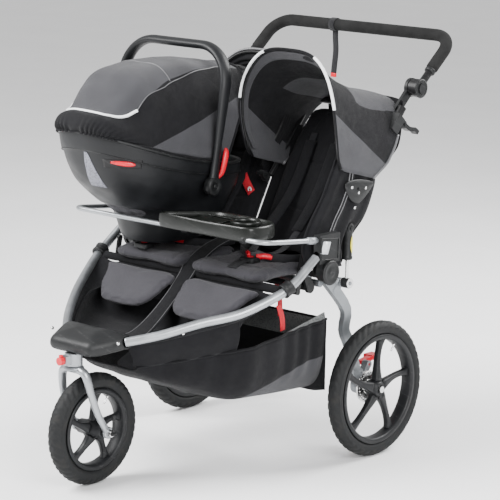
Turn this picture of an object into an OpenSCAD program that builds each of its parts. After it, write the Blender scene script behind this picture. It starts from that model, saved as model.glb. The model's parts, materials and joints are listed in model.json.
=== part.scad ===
// Jogging stroller for two children, with a snack tray and an infant carrier docked over the left
// seat. Millimetres, +Z up, the stroller faces -Y, and the origin is on the floor under the middle
// of its outline. Side-view points are [y, z], with y counted from the fold hub.

/* [Wheels] */
// Outside diameter of the two rear tyres
rear_wheel_d = 390; // [386:1:392]
// Outside diameter of the front tyre
front_wheel_d = 310; // [306:1:312]
// Distance between the centre planes of the rear wheels
rear_track = 722; // [722:1:730]
// Number of spokes in each wheel
spoke_count = 5; // [4:1:6]

/* [Frame] */
// Height of the fold hub above the floor
hub_z = 565; // [563:1:567]
// Distance from the fold hub forward to the front axle
front_reach = 530; // [526:1:534]
// Distance from the fold hub back to the rear axle
rear_reach = 232; // [230:1:234]
// Outside diameter of the silver front frame tubes
front_tube_d = 25; // [22:0.5:25]
// Outside diameter of the black upper frame tubes
upper_tube_d = 24; // [20:0.5:24]
// Width over the centres of the handlebar arms
handlebar_w = 670; // [664:1:672]

/* [Seats and carrier] */
// Recline of the seat backs, measured from the floor
back_angle = 62; // [60:0.5:63]
// Length of the seat backs from their hinge
back_length = 462; // [440:1:464]
// Height of the top of the seat cushions
seat_z = 575; // [570:1:576]
// Distance of the carrier's centre plane to the left of the stroller's
carrier_x = 172; // [170:1:174]

/* [Hidden] */
$fn = 48;

// Distance of the fold hub behind the middle of the stroller's outline
frame_y = 42.5;
// Radial gap of a running fit, and of the shock's open lower eye
fit = 0.05;
open_fit = 0.6;
// Depth by which the web of a flat arm is set back from its round ends
web_step = 0.5;
// Points of the side view
hub = [0, hub_z];
front_axle_at = [-front_reach, front_wheel_d / 2];
rear_axle_at = [rear_reach, rear_wheel_d / 2];
steer_y = -front_reach - 70;
shock_top = [132, hub_z + 101];
shock_eye = [132, hub_z - 55];
handlebar_pivot = [423, hub_z + 466];
handlebar_angle = 40.3;
handlebar_reach = 208.6;
canopy_pivot = [145, hub_z + 212];
back_hinge = [95, hub_z - 10];
carrier_pivot = [-93, hub_z + 205];
hood_pivot = [-20, hub_z + 315];
// Direction and length of the upper frame tubes
upper_run = 551;
upper_dir = [0.657, 0.754];
upper_normal = [0.754, -0.657];
// Lanes across the stroller, as |x| of each part's inner face, from the inside out
bracket_lane = 281;
arm_lane = 292;
knuckle_lane = 305;
upper_lane = 317;
front_lane = 352;
lane_t = 10;
upper_x = 328;
shock_x = 330;
front_tube_x = 363;
// Radii of pins
hub_pin_r = 8;
axle_r = 6;
small_pin_r = 4;
bolt_r = 5;
// Adapter bar: its two arms plug into the hub brackets and point forwards
bar_r = 7;
bar_angle = 174.4;
bar_end = [-8, hub_z + 89.6];
bar_reach = 250;

// ---- Helpers ----

module placed() {
    translate([0, frame_y, 0]) children();
}

module both_sides() {
    children();
    mirror([1, 0, 0]) children();
}

// Puts a child made for the right side on the left side instead
module on_side(left) {
    mirror([left ? 1 : 0, 0, 0]) children();
}

// Round bar along X, centred on a side-view point
module x_rod(d, x0, x1, at) {
    translate([x0, at[0], at[1]]) rotate([0, 90, 0]) cylinder(d = d, h = x1 - x0);
}

// Plate that fills a side-view outline between two x values
module side_plate(outline, x0, x1) {
    translate([x0, 0, 0]) rotate([90, 0, 90]) linear_extrude(x1 - x0) polygon(outline);
}

// Flat arm from a boss at one side-view point to a round end at another, its web a little thinner
module side_arm(a, b, w, x0, x1) {
    run = b - a;
    x_rod(w, x0, x1, b);
    translate([x0 + web_step, a[0], a[1]]) rotate([atan2(run[1], run[0]), 0, 0])
        translate([0, 0, -0.46 * w]) cube([x1 - x0 - 2 * web_step, norm(run), 0.92 * w]);
}

// Flat link with two round ends
module side_link(a, b, w, x0, x1) {
    x_rod(w, x0, x1, a);
    side_arm(a, b, w, x0, x1);
}

// Turns +Z to the direction v
module aim(v) {
    rotate([0, acos(v[2] / norm(v)), atan2(v[1], v[0])]) children();
}

// Straight round bar between two points
module rod(a, b, d) {
    translate(a) aim(b - a) cylinder(d = d, h = norm(b - a));
}

function catmull(a, b, c, d, t) =
    0.5 * (2 * b + (c - a) * t + (2 * a - 5 * b + 4 * c - d) * t * t + (3 * b - a - 3 * c + d) * t * t * t);

// Smooth curve through the points, in steps short pieces between each two
function smooth_path(p, steps) = [
    for (i = [0 : len(p) - 2], k = [0 : steps - 1])
        catmull(p[max(i - 1, 0)], p[i], p[i + 1], p[min(i + 2, len(p) - 1)], k / steps),
    p[len(p) - 1]
];

function heading(p, i) = p[min(i + 1, len(p) - 1)] - p[max(i - 1, 0)];

// Round tube that follows a path of points, with a ball in each bend
module bent_tube(p, d) {
    for (i = [0 : len(p) - 2])
        rod(p[i], p[i + 1], d);
    for (i = [1 : len(p) - 2])
        translate(p[i]) sphere(d = d + 0.1);
}

// Outline of a band of width w that follows a side-view path
function side_normal(p, i) = let (h = heading(p, i)) [-h[1], h[0]] / norm(h);
function band(p, w) = concat(
    [for (i = [0 : len(p) - 1]) p[i] + side_normal(p, i) * w / 2],
    [for (i = [len(p) - 1 : -1 : 0]) p[i] - side_normal(p, i) * w / 2]
);

// U-shaped bar in the XY plane: two arms along +Y from y = start, round corners and a bar across
module u_bar(half_w, reach, corner, r, start = 0) {
    both_sides() {
        translate([half_w, start, 0]) rotate([-90, 0, 0]) cylinder(r = r, h = reach - corner - start);
        translate([half_w - corner, reach - corner, 0]) rotate_extrude(angle = 90)
            translate([corner, 0]) circle(r = r);
    }
    translate([corner - half_w, reach, 0]) rotate([0, 90, 0]) cylinder(r = r, h = 2 * (half_w - corner));
}

// Stands a U-shaped bar on a side-view point, leaning back by angle from the -Y.. +Y floor line
module lean(at, angle, x = 0) {
    translate([x, at[0], at[1]]) rotate([angle, 0, 0]) children();
}

// ---- Front frame ----

front_tube_path = [
    [112, -front_reach + 10, 411], [176, -452, 430], [241, -367, 459], [303, -278, 481],
    [349, -183, 522], [361, -132, 549], [363, -78, 586], [363, -42, 610]
];

module front_frame_tubes() {
    color("silver") placed() both_sides() bent_tube(smooth_path(front_tube_path, 2), front_tube_d);
}

module nose_cover() {
    underside = 377;
    color("dimgray") placed() difference() {
        hull() both_sides() {
            translate([108, -512, 411]) sphere(r = 21, $fn = 28);
            translate([62, -598, 396]) sphere(r = 24, $fn = 28);
            translate([30, -545, 418]) sphere(r = 25, $fn = 28);
        }
        translate([-200, -700, underside - 60]) cube([400, 300, 60]);
        both_sides() rod([108.3, -525.2, 409.9], [176, -452, 430], front_tube_d + 3);
        translate([0, steer_y, underside - 1]) cylinder(r = 14, h = 24);
    }
}

stem_r = 10;
lock_z = 362;

module swivel_housing() {
    color("silver") placed() difference() {
        union() {
            translate([0, steer_y, 344]) cylinder(r = 24, h = 33);
            translate([-13, steer_y - 40, 350]) cube([26, 22, 24]);
        }
        translate([0, steer_y, 343]) cylinder(r = stem_r + fit, h = 31);
        translate([0, steer_y - 27, lock_z]) rotate([90, 0, 0]) cylinder(r = small_pin_r + fit, h = 14);
    }
}

module swivel_lock_knob() {
    color("crimson") placed() translate([0, steer_y - 28, lock_z]) rotate([90, 0, 0]) {
        cylinder(r = small_pin_r, h = 13);
        translate([0, 0, 13]) cylinder(r = 11, h = 13);
        translate([-3, 0, 14]) cube([6, 17, 10]);
    }
}

seat_bar_at = [-152, 531];
rear_bar_at = [-95, 520];

module seat_crossbars() {
    clamp_at = [357, -152, 539];
    color("dimgray") placed() {
        x_rod(16, -338, 338, seat_bar_at);
        x_rod(16, -345, 345, rear_bar_at);
        both_sides() {
            difference() {
                translate(clamp_at) aim([12, 51, 27]) cylinder(r = 20, h = 24, center = true);
                translate(clamp_at) aim([12, 51, 27])
                    cylinder(r = front_tube_d / 2 + 3, h = 40, center = true);
            }
            side_link(rear_bar_at, [-86, 572], 16, 341, 349);
        }
    }
}

module hub_brackets() {
    socket_dir = [0, cos(bar_angle), sin(bar_angle)];
    socket_in = [front_tube_x, bar_end[0], bar_end[1]];
    color("dimgray") placed() both_sides() difference() {
        union() {
            translate([front_lane + 1, -40, 592]) cube([23, 84, 80]);
            side_link(hub, [2, hub_z + 40], 56, front_lane, front_lane + 22);
        }
        x_rod(2 * hub_pin_r, front_lane - 1, front_lane + 30, hub);
        rod(socket_in, socket_in + 60 * socket_dir, 2 * (bar_r + fit));
        rod([363, -15, 628], [363, -90, 578], front_tube_d + 1);
    }
}

module hub_bolts() {
    color("gray") placed() both_sides() {
        x_rod(2 * hub_pin_r, bracket_lane - 3, 377, hub);
        x_rod(66, 376.5, 384, hub);
    }
}

// ---- Seats, footwell and basket ----

module seat_pads() {
    color("slategray") placed() both_sides()
        translate([14, -190, seat_z - 33]) cube([262, 266, 33]);
}

module calf_pads() {
    color("slategray") placed() both_sides()
        translate([0, -178, 525]) rotate([35.5, 0, 0]) translate([0, -150, -12]) linear_extrude(24)
            polygon([[22, 150], [288, 150], [262, 60], [220, 8], [190, 0], [90, 0], [50, 20], [26, 70]]);
}

// Corner points of the footwell's rim and floor, inset by g
function footwell_corners(g, lift) = [
    [95 - g, -484 + g, 396 + lift], [165 - g, -440, 410 + lift], [226 - g, -362, 430 + lift],
    [270 - g, -280, 452 + lift], [276 - g, -222 - g, 456 + lift],
    [80 - g, -470 + g, 378 + g], [196 - g, -322, 376 + g], [220 - g, -262 - g, 380 + g]
];

module footwell() {
    color("#202020") placed() difference() {
        hull() both_sides() for (p = footwell_corners(0, 0)) translate(p) cube(2, center = true);
        hull() both_sides() for (p = footwell_corners(4, 30)) translate(p) cube(2, center = true);
    }
}

function basket_corners(g, lift) = [
    [110 - g, -467 + g, 333 + lift], [289 - g, -216, 372 + lift], [289 - g, 99 - g, 401 + lift],
    [105 - g, -452 + g, 316 + g], [254 - g, -216 + g, 213 + g], [286 - g, 107 - g, 188 + g]
];

module basket() {
    color("#282828") placed() difference() {
        hull() both_sides() for (p = basket_corners(0, 0)) translate(p) cube(2, center = true);
        hull() both_sides() for (p = basket_corners(4, 40)) translate(p) cube(2, center = true);
    }
}

buckle_right_at = [172, -95, seat_z + 1];
buckle_left_at = [-172, -160, seat_z + 1];

module harness_buckles() {
    color("#202020") placed() for (at = [buckle_right_at, buckle_left_at])
        translate(at) difference() {
            translate([-25, -18, 0]) cube([50, 36, 16]);
            translate([0, 0, 9]) cylinder(r = 10, h = 10);
        }
}

module buckle_button(at) {
    color("crimson") placed() translate(at + [0, 0, 12]) cylinder(r = 9.5, h = 6);
}

module buckle_button_right() {
    buckle_button(buckle_right_at);
}

module buckle_button_left() {
    buckle_button(buckle_left_at);
}

// ---- Front fork and wheel ----

module fork_crown() {
    color("silver") placed() {
        translate([0, steer_y, 330]) cylinder(r = stem_r, h = 42);
        translate([-56, steer_y - 20, 317]) cube([112, 46, 25]);
    }
}

module fork_legs() {
    fork_leg_d = 17;
    leg_path = [
        [44, steer_y + 2, 313.5], [53, steer_y + 12, 262],
        [58.3, steer_y + 36, 205], [58.3, -front_reach, 150]
    ];
    color("silver") placed() both_sides() difference() {
        union() {
            bent_tube(leg_path, fork_leg_d);
            x_rod(32, 52, 65, front_axle_at);
        }
        x_rod(2 * axle_r + 2 * fit, 40, 80, front_axle_at);
    }
}

module front_axle() {
    color("gray") placed() {
        x_rod(2 * axle_r, -74, 74, front_axle_at);
        x_rod(22, -80, -67, front_axle_at);
        x_rod(20, 67, 75, front_axle_at);
    }
}

module front_quick_release() {
    color("black") placed() {
        translate([81, front_axle_at[0] + 7, front_axle_at[1]]) rotate([90, 0, 0]) cylinder(r = 5, h = 14);
        side_link(front_axle_at, front_axle_at + [0, 48], 9, 79, 84);
    }
}

// Radius at which a tyre of outside radius r and section radius t sits on its rim
function seat_r(r, t) = r - 1.75 * t;

module tyre(r, t, x) {
    wall = 3.5;
    color("#181818") translate([x, 0, 0]) rotate([0, 90, 0]) rotate_extrude($fn = 96) difference() {
        translate([r - t, 0]) circle(r = t);
        translate([r - t, 0]) circle(r = t - wall);
        translate([r - 2 * t, -t / 2]) square([t, t]);
        translate([0, -t]) square([seat_r(r, t), 2 * t]);
    }
}

// Moulded wheel: rim channel, spokes, hub barrel and valve, with its axle bore along X
module spoked_rim(r, t, x, hub_in, hub_out) {
    ro = seat_r(r, t);
    ri = ro - 13;
    hw = 0.8 * t;
    barrel_r = 21;
    color("#282828") translate([x, 0, 0]) rotate([0, 90, 0]) difference() {
        union() {
            rotate_extrude($fn = 96)
                polygon([[ri, -hw], [ro, -hw], [ro, -hw + 4], [ro - 6, -hw + 9],
                         [ro - 6, hw - 9], [ro, hw - 4], [ro, hw], [ri, hw]]);
            translate([0, 0, -hub_in]) cylinder(r = barrel_r, h = hub_in + hub_out);
            for (i = [0 : spoke_count - 1]) rotate([0, 0, i * 360 / spoke_count]) {
                translate([0, 0, -9]) linear_extrude(18)
                    polygon([[barrel_r - 5, -11], [ri + 2, -9], [ri + 2, 9], [barrel_r - 5, 11]]);
                if (i == 0) rotate([0, 90, 180 / spoke_count]) translate([0, 0, ri - 22])
                    cylinder(r = 3, h = 24);
            }
        }
        translate([0, 0, -hub_in - 1]) cylinder(r = axle_r + fit, h = hub_in + hub_out + 2);
        translate([0, 0, hub_out - 6]) cylinder(r = 10, h = 7);
    }
}

front_t = 25;
rear_t = 22.5;
wheel_x = rear_track / 2;

module front_rim() {
    placed() translate([0, front_axle_at[0], front_axle_at[1]])
        spoked_rim(front_wheel_d / 2, front_t, 0, 48, 48);
}

module front_tyre() {
    placed() translate([0, front_axle_at[0], front_axle_at[1]]) tyre(front_wheel_d / 2, front_t, 0);
}

// ---- Rear wheels ----

module at_rear_axle(left) {
    placed() on_side(left) translate([0, rear_axle_at[0], rear_axle_at[1]]) children();
}

module rear_rim(left) {
    at_rear_axle(left) spoked_rim(rear_wheel_d / 2, rear_t, wheel_x, wheel_x - 340, 384 - wheel_x);
}

module rear_rim_left() {
    rear_rim(true);
}

module rear_rim_right() {
    rear_rim(false);
}

module rear_tyre_left() {
    at_rear_axle(true) tyre(rear_wheel_d / 2, rear_t, wheel_x);
}

module rear_tyre_right() {
    at_rear_axle(false) tyre(rear_wheel_d / 2, rear_t, wheel_x);
}

brake_pitch_r = 38;
brake_pin_d = 6;

// Disc with a ring of holes that the brake pin drops into
module brake_disc(left) {
    hole_count = 24;
    color("gray") at_rear_axle(left) difference() {
        union() {
            x_rod(92, 330, 336, [0, 0]);
            x_rod(40, 335.5, 340, [0, 0]);
        }
        x_rod(2 * axle_r + 1, 329, 341, [0, 0]);
        for (i = [0 : hole_count - 1])
            x_rod(brake_pin_d + 0.8, 329, 337,
                  brake_pitch_r * [cos(i * 360 / hole_count), sin(i * 360 / hole_count)]);
    }
}

module brake_disc_left() {
    brake_disc(true);
}

module brake_disc_right() {
    brake_disc(false);
}

// Push button in the middle of a rear hub, which frees the wheel
module hub_button(left) {
    color("silver") at_rear_axle(left) x_rod(18, 382, 388, [0, 0]);
}

module hub_button_left() {
    hub_button(true);
}

module hub_button_right() {
    hub_button(false);
}

module rear_axles() {
    color("gray") placed() both_sides() x_rod(2 * axle_r, arm_lane + 1, 377, rear_axle_at);
}

// ---- Rear frame: brackets, swing arms, shocks and brake ----

rear_tube_at = [25, hub_z - 60];
swing_tube_at = [62, hub_z - 53];
pedal_pivot = rear_axle_at + [34, 54];

module rear_brackets() {
    color("dimgray") placed() {
        both_sides() {
            difference() {
                union() {
                    side_arm(hub, shock_top, 34, bracket_lane, bracket_lane + lane_t);
                    side_arm(hub, rear_tube_at, 30, bracket_lane, bracket_lane + lane_t);
                    x_rod(46, bracket_lane, bracket_lane + lane_t, hub);
                }
                x_rod(2 * (hub_pin_r + fit), bracket_lane - 5, bracket_lane + lane_t + 1, hub);
            }
            x_rod(2 * bolt_r, bracket_lane + 2, 345, shock_top);
        }
        x_rod(20, -bracket_lane - 2, bracket_lane + 2, rear_tube_at);
    }
}

module swing_arms() {
    arm_path = smooth_path([
        hub + [14, -4], hub + [44, -14], hub + [110, -75], hub + [165, -141], hub + [159, -197],
        hub + [183, -245], rear_axle_at + [-4, 10]
    ], 3);
    outer = arm_lane + 20;
    color("silver") placed() {
        both_sides() {
            difference() {
                union() {
                    side_plate(band(arm_path, 31), arm_lane + 1.5, outer - 1.5);
                    x_rod(44, arm_lane, outer, hub);
                    x_rod(52, arm_lane, outer, rear_axle_at);
                    side_link(hub + [112, -77], shock_eye, 24, arm_lane, outer);
                    side_arm(rear_axle_at, pedal_pivot, 22, arm_lane, outer);
                    side_arm(rear_axle_at, rear_axle_at + [0, brake_pitch_r], 20, arm_lane + 1, outer - 2);
                }
                x_rod(2 * (hub_pin_r + fit), arm_lane - 1, outer + 1, hub);
                x_rod(2 * axle_r, arm_lane + 1, outer + 1, rear_axle_at);
                x_rod(2 * (small_pin_r + fit), arm_lane - 1, outer + 1, pedal_pivot);
                x_rod(brake_pin_d + 2 * fit, arm_lane - 1, outer + 1, rear_axle_at + [0, brake_pitch_r]);
            }
            x_rod(2 * bolt_r, outer - 1, 345, shock_eye);
        }
        x_rod(20, -arm_lane - 3, arm_lane + 3, swing_tube_at);
    }
}

shock_in = upper_lane;
shock_out = 343;
chamber_r = 10;

module shock_cylinders() {
    color("#202020") placed() both_sides() difference() {
        union() {
            x_rod(24, shock_in, shock_out, shock_top);
            translate([shock_x, shock_top[0], hub_z + 11]) cylinder(r = 13, h = 86);
        }
        x_rod(2 * (bolt_r + fit), shock_in - 1, shock_out + 1, shock_top);
        translate([shock_x, shock_top[0], hub_z + 16]) cylinder(r = chamber_r, h = 64);
        translate([shock_x, shock_top[0], hub_z + 10]) cylinder(r = bolt_r + fit, h = 8);
    }
}

module shock_bumpers() {
    color("goldenrod") placed() both_sides() translate([shock_x, shock_top[0], hub_z + 66]) difference() {
        cylinder(r = chamber_r - 0.2, h = 14);
        translate([0, 0, -1]) cylinder(r = bolt_r + 1, h = 16);
    }
}

module shock_rods() {
    color("gray") placed() both_sides() difference() {
        union() {
            translate([shock_x, shock_eye[0], shock_eye[1] + 6]) cylinder(r = bolt_r, h = 90);
            translate([shock_x, shock_eye[0], hub_z + 31]) cylinder(r = chamber_r - fit, h = 10);
            x_rod(28, shock_in, shock_out, shock_eye);
        }
        x_rod(2 * (bolt_r + open_fit), shock_in - 1, shock_out + 1, shock_eye);
    }
}

module brake_pedal() {
    color("crimson") placed() {
        x_rod(2 * small_pin_r, 270, arm_lane + 18, pedal_pivot);
        side_link(pedal_pivot, pedal_pivot + [58, 8], 13, 268, 288);
        translate([254, pedal_pivot[0] + 44, pedal_pivot[1] + 4]) cube([32, 36, 10]);
    }
}

module brake_pin(left) {
    color("gray") at_rear_axle(left) x_rod(brake_pin_d, 284, 327, [0, brake_pitch_r]);
}

module brake_pin_left() {
    brake_pin(true);
}

module brake_pin_right() {
    brake_pin(false);
}

// ---- Upper frame and handlebar ----

function along_upper(s, off = 0) = hub + s * upper_dir + off * upper_normal;

cross_tube_at = along_upper(543);
lever_at = along_upper(515, 30);

module upper_frame_tubes() {
    color("#202020") placed() {
        both_sides() difference() {
            union() {
                x_rod(42, upper_lane, upper_lane + 22, hub);
                rod([upper_x, along_upper(12)[0], along_upper(12)[1]],
                    [upper_x, along_upper(upper_run)[0], along_upper(upper_run)[1]], upper_tube_d);
            }
            x_rod(2 * (hub_pin_r + fit), upper_lane - 20, upper_lane + 40, hub);
        }
        x_rod(20, 1 - knuckle_lane, knuckle_lane - 1, cross_tube_at);
        rod([0, along_upper(268)[0], along_upper(268)[1]], [0, cross_tube_at[0], cross_tube_at[1]], 14);
    }
}

module knuckles() {
    plate_out = knuckle_lane + lane_t;
    color("#202020") placed() both_sides() {
        translate([upper_x, along_upper(470)[0], along_upper(470)[1]]) rotate([48.93, 0, 0]) difference() {
            translate([-18, 0, -17]) cube([35, 52, 34]);
            translate([0, -1, 0]) rotate([-90, 0, 0]) cylinder(d = upper_tube_d + 0.2, h = 54);
        }
        side_arm(handlebar_pivot, along_upper(492), 30, knuckle_lane, plate_out);
        side_arm(along_upper(494), lever_at, 20, knuckle_lane + 1, plate_out - 1);
        x_rod(54, knuckle_lane, plate_out, handlebar_pivot);
        x_rod(2 * axle_r, plate_out - 5, 349, handlebar_pivot);
        x_rod(30, 348, 352, handlebar_pivot);
        x_rod(2 * small_pin_r, plate_out - 5, 342, lever_at);
    }
}

module release_lever(left) {
    color("#202020") placed() on_side(left) difference() {
        union() {
            x_rod(22, upper_lane, 339, lever_at);
            side_plate(band(smooth_path([lever_at + [2, 0], lever_at + [30, -17], lever_at + [50, -19],
                                         lever_at + [66, -30]], 3), 12), upper_lane, 339);
        }
        x_rod(2 * (small_pin_r + fit), upper_lane - 1, 340, lever_at);
    }
}

module release_lever_left() {
    release_lever(true);
}

module release_lever_right() {
    release_lever(false);
}

grip_r = 17.5;
bar_core_r = 11;
bar_corner = 62;

module handlebar_tube() {
    color("#202020") placed() {
        lean(handlebar_pivot, handlebar_angle)
            u_bar(handlebar_w / 2, handlebar_reach, bar_corner, bar_core_r, 20);
        both_sides() difference() {
            x_rod(52, upper_lane, 346, handlebar_pivot);
            x_rod(2 * (axle_r + fit), upper_lane - 1, 347, handlebar_pivot);
        }
    }
}

module handlebar_grip() {
    grip_start = 78;
    color("#101010") placed() lean(handlebar_pivot, handlebar_angle) difference() {
        u_bar(handlebar_w / 2, handlebar_reach, bar_corner, grip_r, grip_start);
        u_bar(handlebar_w / 2, handlebar_reach, bar_corner, bar_core_r + fit, grip_start - 5);
    }
}

module wrist_strap() {
    bar_top = handlebar_pivot + handlebar_reach * [cos(handlebar_angle), sin(handlebar_angle)];
    color("#101010") placed() translate([-121, bar_top[0] - 2, bar_top[1] - 156])
        cube([22, 4, 156 - grip_r - 1]);
}

// ---- Canopies ----

bow_half_w = 165;
bow_x = 347 - bow_half_w;
bow_angle = 104.5;
bow_reach = 384;
folded_angle = 58;

module canopy_mounts() {
    color("#202020") placed() {
        both_sides() {
            side_link(canopy_pivot, along_upper(278, -30), 34, upper_lane + 2, 339);
            x_rod(2 * small_pin_r, 338, 352, canopy_pivot);
        }
        side_link(along_upper(252, -10), canopy_pivot, 18, -9, 9);
        x_rod(2 * small_pin_r, -22, 22, canopy_pivot);
    }
}

module canopy_bow(left, angle, reach) {
    color("#202020") placed() on_side(left) difference() {
        union() {
            lean(canopy_pivot, angle, bow_x) u_bar(bow_half_w, reach, 110, 3.8, 7);
            for (x = [bow_x - bow_half_w, bow_x + bow_half_w])
                x_rod(20, x - 4, x + 4, canopy_pivot);
        }
        for (x = [bow_x - bow_half_w, bow_x + bow_half_w])
            x_rod(2 * (small_pin_r + fit), x - 5, x + 5, canopy_pivot);
    }
}

module canopy_bow_right() {
    canopy_bow(false, bow_angle, bow_reach);
}

module canopy_bow_left() {
    canopy_bow(true, folded_angle, bow_reach - 14);
}

// Fan of bows that spans a canopy, made smaller all round by g
module canopy_fan(angles, reaches, g) {
    hull() for (i = [0 : len(angles) - 1])
        lean(canopy_pivot, angles[i], bow_x) linear_extrude(1, center = true, $fn = 32) {
            translate([110 - bow_half_w + g, reaches[i] - 110 - g]) circle(r = 110);
            translate([bow_half_w - 110 - g, reaches[i] - 110 - g]) circle(r = 110);
            translate([g - bow_half_w, 0]) square([2 * (bow_half_w - g), 10]);
        }
}

// Everything under a canopy's roof line, made lower by g
module canopy_room(roof, g) {
    outline = concat([[-250, -60]], [for (p = roof) p - [0, g]], [[290, -60]]);
    side_plate([for (p = outline) canopy_pivot + p], 0, 400);
}

// Sheet over the bows, open at the front, behind and below; roof is counted from the canopy hinge
module canopy_sheet(left, angles, reaches, roof) {
    last = len(angles) - 1;
    inner_angles = concat([angles[0] + 30], angles, [angles[last] - 30]);
    inner_reaches = concat([reaches[0] + 60], reaches, [reaches[last] + 60]);
    color("#282828") placed() on_side(left) difference() {
        intersection() {
            canopy_fan(angles, reaches, 4.5);
            canopy_room(roof, 0);
        }
        intersection() {
            canopy_fan(inner_angles, inner_reaches, 7.5);
            canopy_room(roof, 3);
        }
        x_rod(60, 0, 400, canopy_pivot);
    }
}

module canopy_right() {
    sagging_roof = [
        [-250, 460], [-130, 420], [-111, 381], [-85, 357], [-45, 327], [5, 299], [55, 277], [111, 261],
        [165, 251], [290, 244]
    ];
    canopy_sheet(false, [bow_angle - 2.2, 84, 66, 54], [bow_reach, 352, 330, 324], sagging_roof);
}

module canopy_left() {
    canopy_sheet(true, [folded_angle + 4, 54], [bow_reach - 14, 345], [[-250, 460], [290, 460]]);
}

// ---- Seat backs ----

// Padded back: narrow low down, where the rear brackets pass beside it, and wider above them
module seat_back(left) {
    half_t = 18;
    inner_x = 14;
    hinge_w = bracket_lane - 2 - inner_x;
    full_w = 298 - inner_x;
    wide_from = 160;
    color("slategray") placed() on_side(left) {
        x_rod(16, inner_x, inner_x + hinge_w, back_hinge);
        translate([inner_x, back_hinge[0], back_hinge[1]]) rotate([back_angle, 0, 0]) {
            translate([1, 5, -3]) cube([hinge_w - 2, 22, 6]);
            translate([0, 25, -half_t]) cube([hinge_w, wide_from - 20, 2 * half_t]);
            translate([1, wide_from, 1 - half_t]) cube([full_w, back_length - wide_from, 2 * half_t - 2]);
        }
    }
}

module seat_back_right() {
    seat_back(false);
}

module seat_back_left() {
    seat_back(true);
}

// ---- Adapter bar, tray and infant carrier ----

module adapter_bar() {
    color("silver") placed() lean(bar_end, bar_angle) u_bar(front_tube_x, bar_reach, 38, bar_r);
}

cup_r = 38;
cup_at = [238, -190];
tray_z = hub_z + 123;

module snack_tray() {
    color("#303030") placed() difference() {
        union() {
            translate([0, 0, tray_z]) linear_extrude(26)
                polygon([[-22, -254], [10, -268], [300, -268], [326, -238], [318, -160], [280, -134],
                         [110, -128], [30, -190]]);
            for (x = [70, 285]) translate([x, -268, tray_z - 24]) cube([16, 24, 25]);
        }
        lean(bar_end, bar_angle) u_bar(front_tube_x, bar_reach, 38, bar_r + 0.2);
        translate([cup_at[0], cup_at[1], tray_z + 5]) cylinder(r = cup_r, h = 30);
        translate([60, -244, tray_z + 8]) cube([120, 84, 30]);
    }
}

module carrier_at() {
    placed() translate([-carrier_x, 0, 0]) children();
}

// Tub of the carrier, made smaller all round by g and taller by lift
module carrier_tub(g, lift) {
    half = [[100, 590], [100, 602], [124, 690], [150, 740], [171, 790], [183, 840], [183, 1000]];
    intersection() {
        side_plate([
            [-205 + g, 602 + g], [-238 + g, 690 + g], [-300 + g, 714 + g], [-385 + g, 778 + g],
            [-430 + g, 860], [-448 + g - 0.265 * lift, 928 + lift], [-341, 897 + lift], [-103, 833 + lift],
            [60, 816 + lift], [122 - g, 812 + lift], [122 - g, 740], [84 - g, 664 + g], [6, 602 + g]
        ], -200, 200);
        translate([0, 300, 0]) rotate([90, 0, 0]) linear_extrude(900)
            polygon(concat([for (p = half) [p[0] - g, p[1]]],
                           [for (i = [len(half) - 1 : -1 : 0]) [g - half[i][0], half[i][1]]]));
    }
}

handle_half_w = 198;
handle_r = 13;
handle_angle = 80.7;
handle_reach = 386;
pivot_lane = 187;
stalk_lane = 160;

module carrier_shell() {
    wall = 8;
    color("#202020") carrier_at() {
        difference() {
            carrier_tub(0, 0);
            carrier_tub(wall, 60);
        }
        both_sides() {
            x_rod(2 * hub_pin_r, 160, pivot_lane + 23, carrier_pivot);
            side_link(hood_pivot - [0, 70], hood_pivot, 22, stalk_lane, stalk_lane + 11);
            x_rod(2 * small_pin_r, stalk_lane - 14, stalk_lane + 1, hood_pivot);
        }
    }
}

module carrier_liner() {
    color("slategray") carrier_at() difference() {
        carrier_tub(9, -6);
        carrier_tub(38, 60);
        both_sides() x_rod(3 * hub_pin_r, 150, pivot_lane, carrier_pivot);
        both_sides() side_link(hood_pivot - [0, 90], hood_pivot, 30, stalk_lane - 3, stalk_lane + 14);
    }
}

module carrier_handle() {
    color("#202020") carrier_at() difference() {
        union() {
            lean(carrier_pivot, handle_angle) u_bar(handle_half_w, handle_reach, 92, handle_r, 15);
            both_sides() x_rod(52, pivot_lane - 1, pivot_lane + 23, carrier_pivot);
        }
        both_sides() x_rod(2 * (hub_pin_r + fit), pivot_lane - 2, pivot_lane + 24, carrier_pivot);
    }
}

lever_foot = carrier_pivot + [31, 30];

module carrier_handle_levers() {
    color("crimson") carrier_at() both_sides()
        side_link(lever_foot, lever_foot + [19, 64], 14, pivot_lane + 5, pivot_lane + 20);
}

hood_half_w = 154;

module carrier_hood_bow() {
    color("#202020") carrier_at() difference() {
        union() {
            lean(hood_pivot, 50.5) u_bar(hood_half_w, 254, 80, 3.5, 7);
            both_sides() x_rod(20, stalk_lane - 11, stalk_lane - 1, hood_pivot);
        }
        both_sides() x_rod(2 * (small_pin_r + fit), stalk_lane - 15, stalk_lane, hood_pivot);
    }
}

// Arches that the hood is stretched over: foot point, lean angle and reach of each
hood_arches = [
    [hood_pivot, 57, 254], [[-100, 862], 88, 245], [[-235, 896], 99, 198], [[-345, 926], 112, 96],
    [[-405, 944], 140, 52]
];

module hood_fan(arches, g) {
    corner = 50;
    hull() for (a = arches)
        lean(a[0], a[1]) linear_extrude(1, center = true, $fn = 32) {
            translate([corner - hood_half_w + g, a[2] - corner - g]) circle(r = corner);
            translate([hood_half_w - corner - g, a[2] - corner - g]) circle(r = corner);
            translate([g - hood_half_w, 0]) square([2 * (hood_half_w - g), 6]);
        }
}

module carrier_hood() {
    opening = [hood_pivot + [0, -10], 20, 330];
    below = [[-345, 860], 150, 100];
    color("#282828") carrier_at() difference() {
        hood_fan(hood_arches, 0);
        hood_fan(concat([opening], hood_arches, [below]), 5);
        both_sides() x_rod(84, 120, 200, hood_pivot);
    }
}

module carrier_release() {
    color("crimson") carrier_at() translate([184, -388, 846]) cube([6, 56, 13]);
}

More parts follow.
